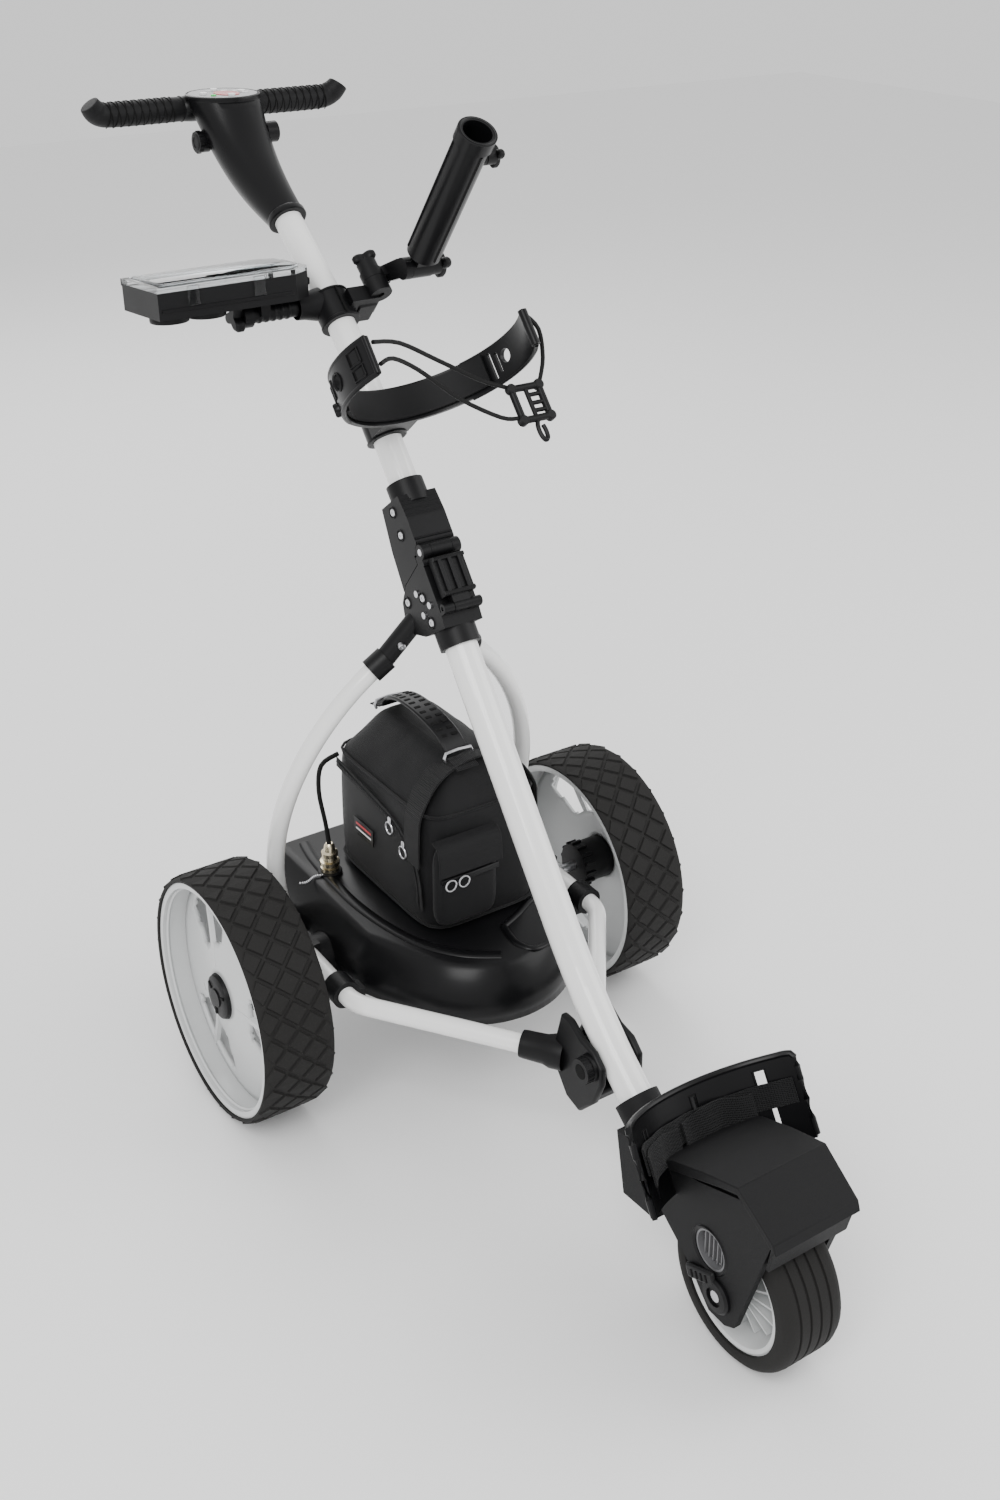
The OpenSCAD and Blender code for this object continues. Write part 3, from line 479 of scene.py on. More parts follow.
levels = [(215.2, 72, 110), (217, 76, 114), (224, 78, 116), (250, 79.5, 117.5),
          (290, 80.5, 118), (330, 80, 117.5), (352, 79, 116.5), (364, 77.5, 114.5),
          (370, 74, 111), (380, 66, 104), (394, 55, 94), (408, 45, 86), (417, 37, 79),
          (422, 29, 71), (424, 16, 58)]
rings = [soft_ring(16, -2, hw, hl, z, ripple=0.5 if 230 < z < 420 else 0.2)
         for z, hw, hl in levels]
add("battery bag", *skin(rings), NYLON, BAG, stands_for="battery_bag", smooth=60, level=1)


def loop_at(z, hw, hl, grow):
    pts = soft_ring(16, -2, hw + grow, hl + grow, z, n=72)
    return pts + [pts[0]]


for z, hw, hl in ((367, 77, 113), (221, 77.5, 115.5)):
    sweep("bag piping %d" % z, loop_at(z, hw, hl, 0.8), circle(1.9, 8), WEB, BAG, steps=0)

# curved zipper over the left face, with its pulls
track = [P(-65.2, 96, 352), P(-66.2, 60, 349), P(-66.6, 10, 343), P(-66.4, -40, 334),
         P(-65.8, -74, 314), P(-65.2, -92, 284), P(-64.6, -97, 244)]
sweep("zip tape", track, band(13, 1.4), WEB, BAG, up=(1, 0, 0))
path = smooth_path(track, 12)
sweep("zip coil", path, circle(1.5, 8), SATIN, BAG, up=(1, 0, 0), steps=0)
for k in range(4, len(path) - 2):
    block("zip tooth %d" % k, path[k] + Vector((-0.0012, 0, 0)), (1.2, 1.4, 4.2), SATIN, BAG,
          bevel=0.2)
for k, at in enumerate((P(-69, -36, 330), P(-69, -66, 312))):
    ring = [at + Vector((0, 0.0075 * cos(t * 0.449), 0.0075 * sin(t * 0.449) - 0.006))
            for t in range(15)]
    sweep("zip pull ring %d" % k, ring, circle(1.2, 8), STEEL, BAG, up=(1, 0, 0), steps=0)
    block("zip slider %d" % k, at + Vector((0.001, 0, 0.004)), (3, 6, 9), STEEL, BAG)

# pocket on the front face
pocket = []
for y, grow in ((-112, 0), (-123, 0), (-129, -2), (-132.5, -6), (-133.5, -12)):
    ring = []
    for k in range(40):
        a = 2 * math.pi * k / 40
        c, s = cos(a), sin(a)
        w, h = 42 + grow, 54 + grow
        r = 1 / ((abs(c) / w) ** 8 + (abs(s) / h) ** 8) ** (1 / 8)
        ring.append(P(-19 + r * c, y, 283 + r * s))
    pocket.append(ring)
add("front pocket", *skin(pocket), NYLON, BAG, smooth=60, level=1)
sweep("pocket flap", [P(-19, -121, 344), P(-19, -133, 338), P(-19, -137, 322), P(-19, -137.6, 304)],
      band(86, 2.2), NYLON, BAG, up=(0, -1, 0.3))
sweep("pocket zip", [P(-58, -135, 296), P(-19, -136.5, 296), P(20, -135, 296)],
      band(3, 7), SATIN, BAG, up=(0, 0, 1))
for k, x in enumerate((-48, -30)):
    ring = [P(x + 7 * cos(t * 0.449), -139.5, 292 + 7 * sin(t * 0.449)) for t in range(15)]
    sweep("pocket pull %d" % k, ring, circle(1.1, 8), STEEL, BAG, up=(0, 1, 0), steps=0)

# webbing across the top, and the carrying strap with its holes
over = [P(-67, -84, 300), P(-66.5, -84, 340), P(-63, -84, 366), P(-44, -82, 396), P(-20, -80, 412),
        P(16, -78, 419), P(52, -80, 412), P(76, -82, 396), P(95, -84, 366), P(98.4, -84, 340),
        P(98.6, -84, 300)]
sweep("bag webbing", over, band(2.4, 34), WEB, BAG, up=(0, 1, 0))
arch = [P(2, 74, 424), P(2, 66, 434), P(0, 44, 446), P(-2, 12, 452), P(-2, -24, 450),
        P(0, -56, 440), P(2, -74, 426)]
sweep("carry strap", arch, band(30, 4.5), SATIN, BAG, up=(0, 0, 1))
line = smooth_path(arch, 6)
# each strap hole is a dark block on the strap: painted shade where the hole is
for k in range(5, len(line) - 4, 2):
    t = (line[k + 1] - line[k - 1]).normalized()
    top = Vector((1, 0, 0)).cross(t)
    top = top if top.z > 0 else -top
    tilt = math.degrees(math.atan2(t.z, t.y))
    for x in (-7, 7):
        block("strap hole %d %d" % (k, x), line[k] + top * 0.0022 + Vector((x / 1000, 0, 0)),
              (8, 4.2, 1.4), DARK_AND_SHADE, BAG, turn=(tilt if abs(tilt) < 90 else tilt - 180, 0, 0),
              bevel=0.5)
for y, z in ((80, 424), (-80, 422)):
    sweep("strap loop %d" % y, [P(-16, y, z - 6), P(-16, y, z + 5), P(18, y, z + 5),
                                P(18, y, z - 6)], circle(2, 8), STEEL, BAG, up=(0, 1, 0), steps=2)
    block("strap tab %d" % y, P(1, y + (9 if y > 0 else -9), z - 6), (30, 24, 2), WEB, BAG,
          turn=(-14 if y > 0 else 14, 0, 0))
block("badge", P(-66.6, 30, 286), (1.2, 46, 22), SATIN, BAG, bevel=0.4)
block("badge stripe", P(-67.3, 30, 290), (0.6, 36, 3), RED, BAG, bevel=0.2)
block("badge line", P(-67.3, 30, 283), (0.6, 36, 2), BUTTON, BAG, bevel=0.2)

# lead connector
SOCKET = P(-93, 72, 215)
UP = Vector((0, 0, 1))
turned("socket", SOCKET, UP, [(15, -1), (15, 3), (13, 4), (11.5, 4), (11.5, -8), (15, -1)], BLACK,
       "chassis", stands_for="tray_socket", n=40)
turned("plug", SOCKET, UP, [(9, 4.2), (11.8, 4.6), (11.8, 9), (9.6, 10), (9.6, 12), (12.2, 13),
                            (12.2, 18), (9, 19), (8.4, 24), (10.4, 25), (10.4, 30), (7.5, 32),
                            (6.5, 39), (4, 42), (3, 42)], BRASS, BAG, stands_for="lead_plug", n=40)
for k in range(13):
    a = k * 0.5
    bpy.ops.mesh.primitive_uv_sphere_add(segments=10, ring_count=6, radius=0.0016,
                                         location=P(-106 - 2.6 * k, 68 + 3 * sin(a), 217.2))
    bead = bpy.context.object
    bead.name = "bead_%d" % k
    bead.data.materials.append(STEEL)
    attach(bead, "chassis")


# ---------- motor tray ----------
def hull_points(inset):
    """The tray's outline seen from above, drawn in by an inset."""
    pts = []
    for x, y, r in ((102, 150, 42), (-102, 150, 42), (114, -70, 30), (-114, -70, 30),
                    (0, -112, 118)):
        for k in range(48):
            a = 2 * math.pi * k / 48
            pts.append(Vector((x + (r - inset) * cos(a), y + (r - inset) * sin(a))))
    return [pts[i] for i in convex_hull_2d(pts)]


def reach(hull, a, c=(0.0, -10.0)):
    """Distance from a centre to a convex outline in one direction."""
    d = Vector((cos(a), sin(a)))
    best = 0
    for i in range(len(hull)):
        p, q = hull[i] - Vector(c), hull[(i + 1) % len(hull)] - Vector(c)
        e = q - p
        det = d.x * -e.y + d.y * e.x
        if abs(det) < 1e-9:
            continue
        t = (p.x * -e.y + p.y * e.x) / det
        s = (d.x * p.y - d.y * p.x) / det
        if t > 0 and -1e-6 <= s <= 1 + 1e-6:
            best = max(best, t)
    return best


hulls = {i: hull_points(i) for i in (0, 2, 7, 13, 19, 24, 28)}
shape = [(0, 150), (0, 166), (2, 176), (7, 188), (13, 199), (19, 208), (24, 213), (28, 215)]
N = 128
spokes = [[reach(hulls[i], 2 * math.pi * k / N) for k in range(N)] for i, z in shape]
rings = [[P(spokes[j][k] * cos(2 * math.pi * k / N), -10 + spokes[j][k] * sin(2 * math.pi * k / N),
            z) for k in range(N)] for j, (i, z) in enumerate(shape)]
verts, faces = skin(rings, caps=False)
faces.append(tuple((len(rings) - 1) * N + k for k in range(N)))
add("tray", verts, faces, SATIN, "chassis", stands_for="motor_tray", smooth=50, solid=3.5,
    offset=-1)


def tray_height(x, y):
    a = math.atan2(y + 10, x) % (2 * math.pi)
    k = int(round(a / (2 * math.pi) * N)) % N
    r = math.hypot(x, y + 10)
    for j in range(len(shape) - 1, 0, -1):
        if r <= spokes[j][k]:
            return shape[j][1]
        if r <= spokes[j - 1][k]:
            t = (spokes[j - 1][k] - r) / max(1e-6, spokes[j - 1][k] - spokes[j][k])
            return shape[j - 1][1] + t * (shape[j][1] - shape[j - 1][1])
    return 168


def on_tray(pts, lift=0.5):
    return [P(x, y, tray_height(x, y) + lift) for x, y in pts]


sweep("tray ridge left", on_tray([(-88, 150), (-96, 110), (-100, 60), (-102, 0), (-96, -60),
                                  (-80, -120), (-50, -165), (-14, -192)]),
      circle(7, 12, 0.34), SATIN, "chassis")
pocket_edge = [(20, -146), (48, -134), (78, -118), (92, -120), (90, -146), (72, -176),
               (48, -196), (24, -200), (14, -180), (20, -146)]
sweep("tray pocket rim", on_tray(pocket_edge), circle(4.5, 12, 0.6), SATIN, "chassis")
for x, y in ((-132, -70), (132, -70), (-134, 60), (134, 60)):
    turned("tray bolt %d %d" % (x, y), P(x, y, 172), Vector((-0.8 if x < 0 else 0.8, 0, 0.6)),
           [(6, -2), (6, 3), (4.5, 4.5), (2, 4.5), (2, 2.5)], BLACK, "chassis", n=24)

# hoop feet: dark fixing screws, and black saddles on the tray
for side in (-1, 1):
    for z, y, x in ((196, 72, 161), (184, 75, 157)):
        turned("hoop screw %d %d" % (side, z), P(side * (x + 9.4), y - 2, z), X * side,
               [(3.6, -2), (3.6, 1.6), (2.6, 2.2), (1.2, 2.2), (1.2, 1)], DARK_AND_SHADE, "chassis", n=24)
        turned("hoop front screw %d %d" % (side, z), P(side * x, y - 11, z), Vector((0, -1, 0)),
               [(3.6, -1), (3.6, 1.2), (2.4, 1.8), (1.1, 1.8), (1.1, 1)], DARK_AND_SHADE, "chassis", n=24)
    block("hoop saddle %d" % side, P(side * 150, 78, 164), (26, 40, 26), BLACK, "chassis",
          bevel=5)

# ---------- front wheel housing ----------
for side in (-1, 1):
    c = P(side * 51, -613, 131)
    turned("window rim %d" % side, c, X * side,
           [(22, -8), (22, 0), (24.5, 1.4), (26, 0), (26, -1), (22, -8)], SATIN, "chassis", n=48)
    turned("window lining %d" % side, c, X * side,
           [(21.8, -10), (21.8, -1), (19.5, -1), (19.5, -10), (21.8, -10)], GREY, "chassis", n=48)
    for k in range(5):
        block("window fin %d %d" % (side, k), c + Vector((-side * 0.007, (k - 2) * 0.0062, 0)),
              (5, 1.6, 30), GREY, "chassis", bevel=0.4)
    a = P(side * 51, -628, 87)
    turned("axle boss %d" % side, a, X * side,
           [(19, -1), (19, 3), (16.5, 5.5), (10, 6), (10, 3.5), (6, 3.5)], BLACK, "chassis", n=40)
    block("adjuster %d" % side, P(side * 54, -606, 97), (6, 44, 15), BLACK, "chassis",
          turn=(-24, 0, 0), bevel=3)
    # the adjuster's slots are thin dark blocks: painted shade in the slots
    for k in range(4):
        block("adjuster slot %d %d" % (side, k), P(side * 57.2, -616 + 7 * k, 100.5 - 3.1 * k),
              (1, 2.4, 8), DARK_AND_SHADE, "chassis", turn=(-24, 0, 0), bevel=0.3)
hood = [(-706, 197), (-702, 208), (-652, 239.5), (-604, 224), (-560, 206.5), (-536, 190),
        (-536, 183), (-566, 197), (-650, 231), (-700, 200)]
a = [P(-54 - 6 * (y + 706) / 170, y, z) for y, z in hood]
b = [P(54 + 6 * (y + 706) / 170, y, z) for y, z in hood]
add("hood cover", *skin([a, b]), HOOD, "chassis", bevel=1.2)
add("nose panel", *skin([[P(s * 52, -702, 204), P(s * 50, -694, 168), P(s * 50, -690, 168),
                          P(s * 52, -697, 200)] for s in (-1, 1)]), HOOD, "chassis", bevel=0.8)

# ---------- lower bag plate ----------
plate = slope((-662, 223.5), 58.7)


def on_plate(a, up, r=132.5):
    return plate(r * sin(rad(a)), -r * cos(rad(a)), up)


edge = [on_plate(-53, 3)] + [on_plate(-53, u) for u in (20, 60, 84)]
edge += [on_plate(a, 88) for a in range(-50, 51, 5)]
edge += [on_plate(53, u) for u in (84, 60, 20, 3)]
sweep("plate rim", edge, circle(3.6, 10), SATIN, "chassis", up=plate.up, steps=2)
for a, u in ((-34, 62), (3, 61), (36, 69)):
    h = 12 if a == -34 else 17 if a == 3 else 10
    w = 3.5 if a < 10 else 6
    ring = [on_plate(a + da, u + du, 130) for da, du in ((-w / 2, -h), (w / 2, -h), (w / 2, h),
                                                          (-w / 2, h), (-w / 2, -h))]
    sweep("slot rim %d" % a, ring, circle(1.2, 6), SATIN, "chassis", up=plate.forward, steps=0)
straps = [(-50, 50, 52, 127, 26, 0), (-50, -14, 44, 123.5, 30, 2), (-10, 32, 48, 123, 30, 3)]
for k, (a0, a1, u, r, w, wave) in enumerate(straps):
    pts = [on_plate(a, u + wave * sin(a * 0.16), r - 1.2 * sin(a * 0.35)) for a in
           range(a0, a1 + 1, 4)]
    more = {"stands_for": "lower_strap"} if k == 0 else {}
    sweep("lower strap %d" % k, pts, band(2.4, w), WEB, "chassis", up=plate.up, steps=2,
          **more)

# ---------- hinge ----------
hinge = slope((-76, 582), 52.35)
for k, (f, u) in enumerate(((0.4, 146), (0, 118), (-1.8, 42), (-0.8, 12), (-38, 48))):
    body = "shaft" if u > 80 else "chassis"
    for side in (-1, 1):
        at = hinge(side * 25, f, u)
        turned("screw ring %d %d" % (k, side), at, X * side,
               [(5.4, -1), (5.4, 0.2), (6.6, 1.3), (7.6, 0.2), (7.6, -1)], BLACK, body, n=32)
        turned("screw head %d %d" % (k, side), at, X * side,
               [(4.6, -1), (4.6, 0.4), (3.9, 1.1), (1.7, 1.1), (1.5, 0.1)], STEEL, body, n=32)
for k in range(3):
    place = hinge(-13 + 13 * k, 41.5, 53)
    block("lever rib %d" % k, place, (5, 3.4, 44), BLACK, "latch", turn=(52.35 - 90, 0, 0))
for u in (33, 73):
    sweep("lever edge %d" % u, [hinge(-20, 41, u), hinge(20, 41, u)], circle(2.6, 10), BLACK,
          "latch", up=hinge.up, steps=0)
for u in (99, 104.5, 133, 139, 145, 151):
    sweep("head rib %d" % u, [hinge(-24, 27.6 if u < 131 else 26.4 - (u - 130) * 0.14, u),
                              hinge(24, 27.6 if u < 131 else 26.4 - (u - 130) * 0.14, u)],
          circle(1.3, 8), BLACK, "shaft", up=hinge.up, steps=0)
for side in (-1, 1):
    turned("arm screw %d" % side, P(side * 40, -26, 549), Vector((side * 0.2, -1, -0.4)),
           [(4.4, -4), (4.4, 1), (3.6, 1.8), (1.5, 1.8), (1.5, 0.8)], STEEL, "chassis", n=28)

# ---------- control head ----------
shaft_dir = Vector((0, cos(rad(38.3)), sin(rad(38.3))))
foot = P(0, 289.9, 981.0)
top = P(0, 453, 1107)
rings = []
grow = 46.2 - 22.4     # from the collar's radius to the panel's, in mm
for i in range(21):
    t = i / 20
    w = t * t * (3 - 2 * t)
    place = foot.lerp(top, t) + Vector((0, 0.011 * sin(math.pi * t), -0.012 * sin(math.pi * t)))
    up = shaft_dir.lerp(Vector((0, 0, 1)), w).normalized()
    fore = X.cross(up)
    half_w = 22.4 + grow * t ** 1.12
    half_d = half_w + 4 * sin(math.pi * t)
    rings.append([place + X * (half_w * cos(a) / 1000) + fore * (half_d * sin(a) / 1000)
                  for a in (2 * math.pi * k / 72 for k in range(72))])
add("head cone", *skin(rings), SATIN, "shaft", stands_for="head_shell", smooth=60)
turned("bar boss", P(-49, 473, 1094), X, [(13, 0), (15.5, 3), (16.5, 14), (16.5, 84), (15.5, 95),
                                          (13, 98)], SATIN, "shaft", n=48)
turned("shell lip", foot, shaft_dir, [(22.6, -1), (24, 0), (24, 6), (22.6, 8)], SATIN, "shaft")
turned("panel rim", P(0, 453, 1107), UP, [(42.5, 0), (43.2, 3), (44.6, 5.4), (46.4, 4.6),
                                          (47, 1), (46.4, -2), (42.5, 0)], SATIN, "shaft", n=96)
turned("panel plate", P(0, 453, 1107), UP, [(43.4, 0), (43.4, 4.6), (42.6, 5.2)], PANEL,
       "shaft", n=96, stands_for="panel_face")


def oval(name, place, a, b, h, mat, body):
    ring = [[place + Vector((a * s * cos(2 * math.pi * k / 40) / 1000,
                             b * s * sin(2 * math.pi * k / 40) / 1000, z / 1000))
             for k in range(40)] for s, z in ((1, 0), (1, h * 0.7), (0.92, h))]
    return add(name, *skin(ring), mat, body, smooth=50)


oval("panel field", P(2, 446, 1112.2), 15, 21, 1.0, RED, "shaft")
oval("green lamp", P(-21, 434, 1112.2), 3.4, 2.6, 1.8, GREEN, "shaft")
for k, (x, y) in enumerate(((-8, 476), (10, 470), (22, 462), (-24, 458), (28, 446))):
    oval("panel mark %d" % k, P(x, y, 1112.2), 4.6, 2.8, 0.7, BUTTON if k else RIM, "shaft")
for side in (-1, 1):
    y, z = (435, 1058) if side < 0 else (408, 1067)
    teeth = 8 if side < 0 else 24
    wide = 3.2 if side < 0 else 1.2
    body = "mode_knob" if side < 0 else "speed_knob"
    for k in range(teeth):
        a = 2 * math.pi * k / teeth
        block("knob rib %d %d" % (side, k),
              P(side * 44.9, y + 12.4 * cos(a), z + 12.4 * sin(a)), (5.6, wide, wide),
              BLACK, body, turn=(math.degrees(a), 0, 0), bevel=0.4)
    turned("knob cap %d" % side, P(side * 47.4, y, z), X * side,
           [(10.5, 0), (10, 1.2), (7, 1.6), (6.4, 0.8)], BLACK, body, n=40)

# grips: oval barrels with crossed grooves and turned up tips
for side in (-1, 1):
    spine = [P(side * 49, 473, 1094), P(side * 56, 473, 1094), P(side * 90, 473, 1094),
             P(side * 130, 473, 1094), P(side * 152, 472.5, 1095), P(side * 163, 469, 1101),
             P(side * 170.5, 465, 1110)]
    line = smooth_path(spine, 10)
    rings = []
    for i, p in enumerate(line):
        t = (line[min(i + 1, len(line) - 1)] - line[max(i - 1, 0)]).normalized()
        s = i / (len(line) - 1)
        a = 15.4 + 1.2 * sin(math.pi * min(1, s * 1.4))
        b = 14.6 + 0.8 * sin(math.pi * min(1, s * 1.4))
        if s < 0.03:
            a, b = a + 1.6, b + 1.6
        if s > 0.82:
            a, b = a - 12 * (s - 0.82), b - 12 * (s - 0.82)
        u = Vector((0, 1, 0))
        v = t.cross(u).normalized()
        rings.append([p + u * (a * cos(q) / 1000) + v * (b * sin(q) / 1000)
                      for q in (2 * math.pi * k / 40 for k in range(40))])
    add("grip %d" % side, *skin(rings), GRIP, "shaft", smooth=60, level=1,
               stands_for="grips" if side < 0 else ())
    # the crossed grooves are thin dark lines laid on the grip: painted shade in the grooves
    for k in range(9):
        x = 62 + 10 * k
        for lean in (-1, 1):
            turn = []
            for q in range(7):
                a = rad(-70 + 32 * q)
                turn.append(P(side * (x + lean * 9 * (q / 6 - 0.5) + 4), 473 - 16.6 * cos(a),
                              1094 + 15.7 * sin(a)))
            sweep("grip line %d %d %d" % (side, k, lean), turn, circle(0.55, 6), DARK_AND_SHADE, "shaft",
                  up=X, steps=3)

# ---------- clamp and arms ----------
clamp = slope((180, 893), 41.7)
for u in (-20, 17):
    turned("clamp lip %d" % u, clamp(0, 0, u), clamp.up, [(22.5, 0), (24, 0.8), (24, 3), (22.5, 4)],
           BLACK, "shaft", n=56)
turned("clamp cone", P(-14, 192, 900), X * -1, [(20, 0), (18, 10), (15.2, 22), (14.6, 31)], BLACK,
       "shaft", n=48)
block("clamp seam", clamp(0, 24.6, 0), (2, 1.6, 38), DARK_AND_SHADE, "shaft", turn=(41.7 - 90, 0, 0),
      bevel=0.2)
block("clamp block", clamp(34, 2, 0), (26, 34, 24), BLACK, "shaft", turn=(41.7 - 90, 0, 0),
      bevel=3)
# the clamp's window is a thin dark block: painted shade in the opening
block("clamp window", clamp(33, 19.4, 1), (12, 1.2, 13), DARK_AND_SHADE, "shaft", turn=(41.7 - 90, 0, 0),
      bevel=0.3)


def lobed_knob(name, place, axis, r, h, mat, body, lobes=3):
    """A knob with lobes, pointing along its axis."""
    z = Vector(axis).normalized()
    x = z.orthogonal().normalized()
    y = z.cross(x)
    rings = []
    for d, s in ((0, 0.86), (h * 0.2, 1), (h * 0.75, 1), (h, 0.84)):
        ring = []
        for k in range(60):
            a = 2 * math.pi * k / 60
            q = r * s * (0.72 + 0.28 * cos(lobes * a))
            ring.append(place + z * (d / 1000) + (x * cos(a) + y * sin(a)) * (q / 1000))
        rings.append(ring)
    return add(name, *skin(rings), mat, body, smooth=50, bevel=0.5)


lobed_knob("arm knob", P(-116, 192, 900), X * -1, 19, 12, BLACK, "score_holder")
lobed_knob("tilt knob", P(111.5, 131, 944), X, 18, 11, BLACK, "umbrella_swivel")
turned("tilt disc", P(73, 131, 944), X * -1, [(12.6, 0), (12.6, 2), (11, 3), (9.5, 3), (9.5, 1.6),
                                             (5, 1.6), (4, 3), (2, 3)], BLACK, "umbrella_swivel",
       n=48)
# the disc's holes are flat dark discs: painted shade in the holes
for k in range(6):
    a = k * math.pi / 3
    turned("disc hole %d" % k, P(71.2, 131 + 7.3 * cos(a), 944 + 7.3 * sin(a)), X * -1,
           [(1.6, 0), (1.6, 0.6)], DARK_AND_SHADE, "umbrella_swivel", n=16)
lobed_knob("swivel knob", clamp(47.5, 32, 38.4), clamp.up, 16, 10, BLACK, "umbrella_swivel")
lean = Vector((0, -sin(rad(37)), cos(rad(37))))
foot = P(85, 131, 944)
for k in range(3):
    a = rad(35 + 120 * k)
    off = (X * cos(a) + lean.cross(X) * sin(a)) * 0.0208
    sweep("holder rib %d" % k, [foot + off + lean * 0.03, foot + off + lean * 0.196],
          circle(1.5, 8), SATIN, "umbrella_tube", up=X, steps=0)
turned("holder lip", foot, lean, [(19, 208), (21.6, 209), (22.8, 212), (22.6, 214.6), (20, 215.6),
                                  (17.6, 214.6), (17.2, 206), (19, 208)], SATIN, "umbrella_tube",
       n=72)
turned("screw boss", foot + lean * 0.175 + X * 0.019, X, [(10, 0), (10, 3.6), (8.6, 4.6)], BLACK,
       "umbrella_tube", n=36)
lobed_knob("holder knob", foot + lean * 0.175 + X * 0.0345, X, 15, 9, BLACK, "umbrella_screw")


# ---------- score card holder ----------
def score(x, y, z):
    a = rad(-4.7)
    return P(x, 200 + y * cos(a) - z * sin(a), 932 + y * sin(a) + z * cos(a))


def score_ring(inset, z):
    half = inset / 2
    pts = [(-232 + inset, -50 + inset), (-64 - half, -50 + inset), (-40 - inset, -32 + half),
           (-40 - inset, 32 - half), (-64 - half, 50 - inset), (-232 + inset, 50 - inset)]
    return [score(x, y, z) for x, y in pts]


add("lid panel", *skin([score_ring(8, 19.6), score_ring(9, 22), score_ring(12, 23)]), CLEAR,
    "score_lid", bevel=1.2)
add("card", *skin([score_ring(12, -4), score_ring(12, -3.2)]), GREY, "score_holder")
for x in (-205, -160):
    turned("cup %d" % x, score(x, -12, -25.5), score(x, -12, 0) - score(x, -12, -25.5),
           [(17, 0), (20.5, 0.6), (22.3, 3), (22.3, 12), (17, 12)], BLACK, "score_holder", n=48)
for x in (-190, -110):
    block("lid clip %d" % x, score(x, -51, 8), (14, 3, 22), CLEAR, "score_holder",
          turn=(-4.7, 0, 0), bevel=0.8)
block("tray band", score(-148, -50.6, -6), (160, 1.6, 4), SATIN, "score_holder",
      turn=(-4.7, 0, 0), bevel=0.5)
block("tray lever", score(-38, 0, -2), (22, 26, 9), BLACK, "score_holder", turn=(-4.7, 0, 0),
      bevel=2)
for k in range(5):
    turned("arm rib %d" % k, P(-58 - 9 * k, 192, 900), X,
           [(10.4, -2), (11, -1), (11, 1), (10.4, 2)], BLACK, "score_holder", n=40)

# ---------- front bracket ----------
cheek = [(-322, 196), (-316, 178), (-318, 154), (-342, 124), (-366, 118), (-392, 146), (-404, 176),
         (-404, 196), (-388, 210), (-366, 214), (-346, 226), (-330, 226)]
for side in (-1, 1):
    x0, x1 = (-29, -20.5) if side < 0 else (20.5, 29)
    more = {"stands_for": "front_bracket"} if side < 0 else {}
    slab("bracket cheek %d" % side, cheek, x0, x1, BLACK, "chassis", bevel=3, **more)
web_line = [(-322, 176), (-316, 160), (-342, 126), (-366, 120), (-372, 134), (-346, 158),
            (-330, 180)]
slab("bracket web", web_line, -22, 22, BLACK, "chassis", bevel=3)
for side in (-1, 1):
    root = P(side * 25, -323.8, 168.4)
    tip = P(side * 51.2, -289, 169.4)
    way = (tip - root).normalized()
    span = (tip - root).length * 1000
    turned("bracket sleeve %d" % side, root, way,
           [(19, -6), (19, 8), (16.5, 16), (15.6, span - 4), (15.2, span), (11.4, span)], BLACK,
           "chassis", n=56)
turned("knob collar", P(-30, -385, 190), X * -1, [(15.5, -1), (15.5, 3), (13.5, 4)], BLACK,
       "chassis", n=48)
# the knob's bore is a dark turned ring: painted shade in the bore
turned("knob bore", P(-41.6, -385, 190), X * -1, [(9, 0), (8.4, 0.8), (6, 0.9)], DARK_AND_SHADE,
       "bracket_knob", n=40)
for k in range(20):
    a = k * math.pi / 10
    block("knob ridge %d" % k, P(-36.4, -385 + 13.9 * cos(a), 190 + 13.9 * sin(a)), (10, 1.6, 1.6),
          BLACK, "bracket_knob", turn=(math.degrees(a), 0, 0), bevel=0.4)

# ---------- upper cradle, buckle and hook ----------
saddle = slope((78.5, 782.5), 49.6)


def on_cradle(a, up, r):
    return saddle(r * sin(rad(a)), 155 - r * cos(rad(a)), up)


for up in (-21, 21):
    for a0, a1, word in ((-117, -46, "left"), (46, 117, "right")):
        sweep("wing edge %s %d" % (word, up), [on_cradle(a, up, 111) for a in range(a0, a1 + 1, 5)],
              circle(2.8, 10), SATIN, "shaft", up=saddle.up, steps=2)
for side, word in ((-1, "left"), (1, "right")):
    tip = [on_cradle(side * 117, u, 110.5) for u in (-21, -7, 7, 21)]
    sweep("wing tip " + word, tip, circle(3.6 if side < 0 else 5.2, 12), SATIN, "shaft",
          up=saddle.forward, steps=2)
    place = on_cradle(side * (84 if side < 0 else 78), 2, 113.4)
    out = (place - saddle(0, 155, 2)).normalized()
    turned("wing hole " + word, place, out, [(8, -1), (8, 0.4), (9.4, 1.8), (10.6, 0.4),
                                             (10.6, -1), (8, -1)], SATIN, "shaft", n=40)
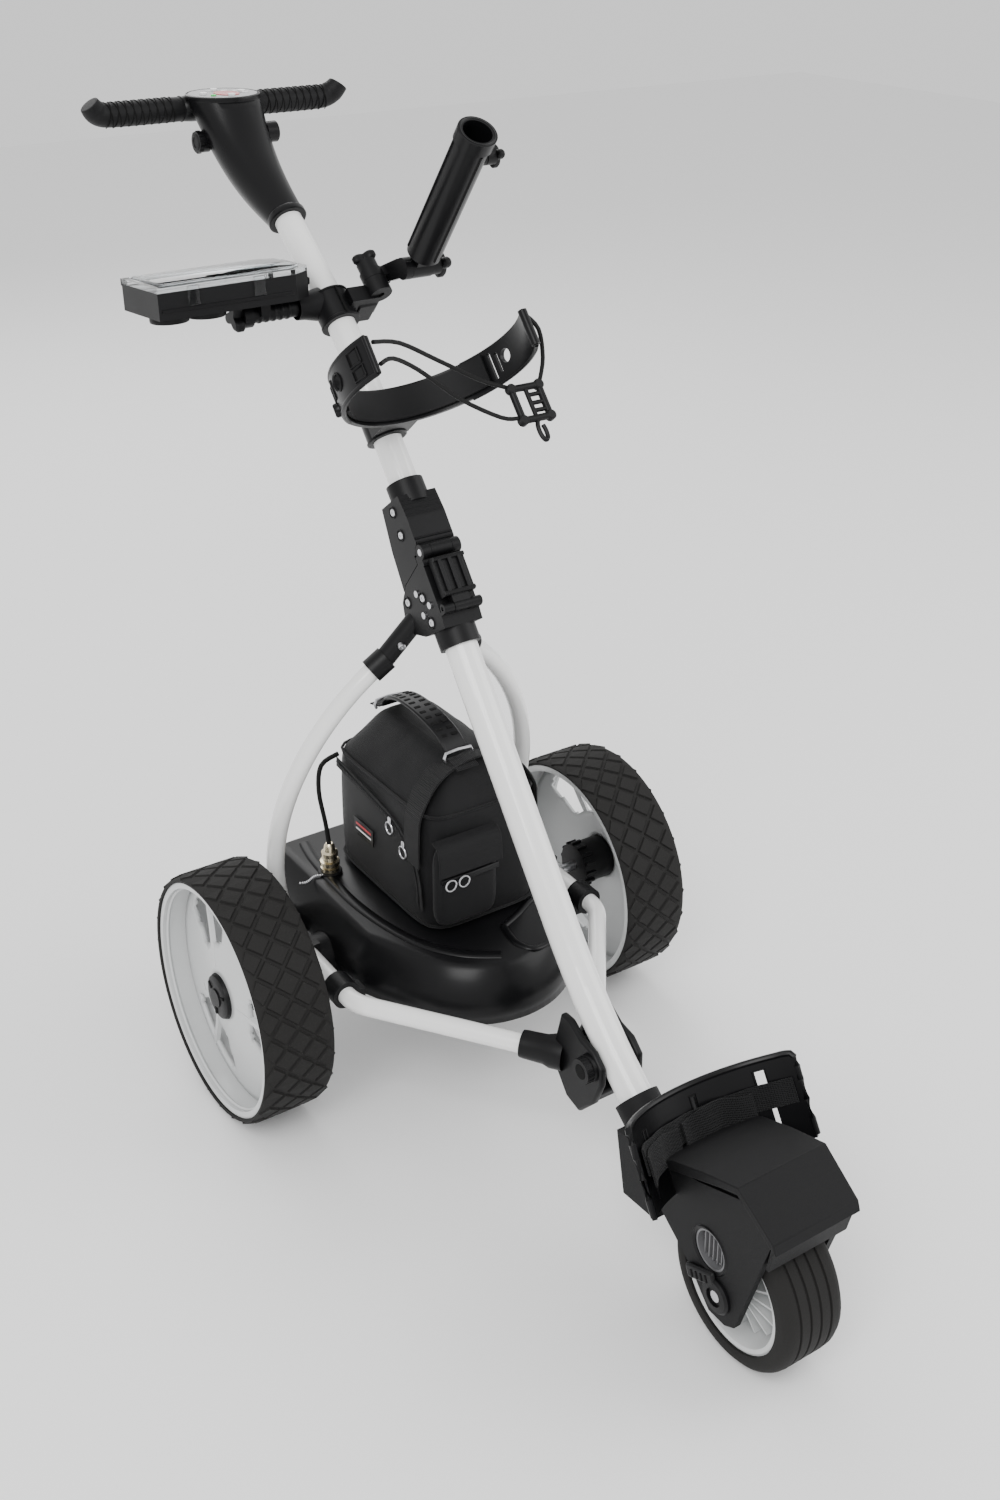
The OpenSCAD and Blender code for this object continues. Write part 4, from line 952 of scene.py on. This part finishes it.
for a, w, up, h in ((-106, 9, 8, 16), (-106, 9, -10, 12), (-66, 12, 4, 20), (-54, 8, 4, 20)):
    ring = [on_cradle(a + da, up + du, 113.6) for da, du in
            ((-w / 2, -h / 2), (w / 2, -h / 2), (w / 2, h / 2), (-w / 2, h / 2), (-w / 2, -h / 2))]
    sweep("recess rim %d %d" % (a, up), ring, circle(1.2, 8), SATIN, "shaft", up=saddle.forward,
          steps=0)
    # a dark sheet inside each recess rim: painted shade in the recess
    quad = [[on_cradle(a + da, up + du, r) for da, du in
             ((-w / 2, -h / 2), (w / 2, -h / 2), (w / 2, h / 2), (-w / 2, h / 2))]
            for r in (112.6, 113.2)]
    add("recess %d %d" % (a, up), *skin(quad), DARK_AND_SHADE, "shaft")
for a in (-40, -30, 30, 40):
    sweep("wing rib %d" % a, [on_cradle(a, u, 113.2) for u in (-20, 0, 20)], circle(2.2, 8),
          SATIN, "shaft", up=saddle.forward, steps=2)
for u in (-22, 20):
    turned("saddle lip %d" % u, saddle(0, 0, u), saddle.up, [(22.4, 0), (24.4, 0.6), (24.4, 2),
                                                           (22.4, 2.6)], SATIN, "shaft", n=56)
turned("cradle boss", on_cradle(-62, -13, 112), (on_cradle(-62, -13, 113) - saddle(0, 155, -13)),
       [(8, 0), (8, 5), (6.6, 7), (3, 7), (3, 4)], SATIN, "shaft", n=36)


def buckle(x, up, forward=160.5):
    return saddle(x, forward, up)


bars = [((76, -50), (112, -50)), ((76, -88), (112, -88)), ((76, -50), (76, -88)),
        ((112, -50), (112, -88)), ((94, -50), (94, -88)), ((94, -60), (112, -60)),
        ((94, -70), (112, -70)), ((94, -79), (112, -79))]
for k, (a, b) in enumerate(bars):
    more = {"stands_for": "cord_hook"} if k == 0 else {}
    thick = 4.2 if k < 4 else 2.6
    sweep("buckle bar %d" % k, [buckle(*a), buckle(*b)], circle(thick, 12), BLACK, "shaft",
          up=saddle.forward, steps=0, bevel=1.0, **more)
for k, (x, up) in enumerate(((76, -50), (112, -50), (76, -88), (112, -88))):
    turned("buckle corner %d" % k, buckle(x, up, 155.8), saddle.forward,
           [(4.6, 0), (6, 1.4), (6, 8), (4.6, 9.4)], BLACK, "shaft", n=28)
loop = [buckle(94, -90), buckle(91, -98), buckle(91, -108), buckle(94, -114.5), buckle(98, -112),
        buckle(99, -104), buckle(98, -97)]
sweep("hook loop", loop, circle(2.6, 10), BLACK, "shaft", up=saddle.forward)

# ---------- sizes kept for comparison ----------
{"cad": before, "visual": as_lists(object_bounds())}
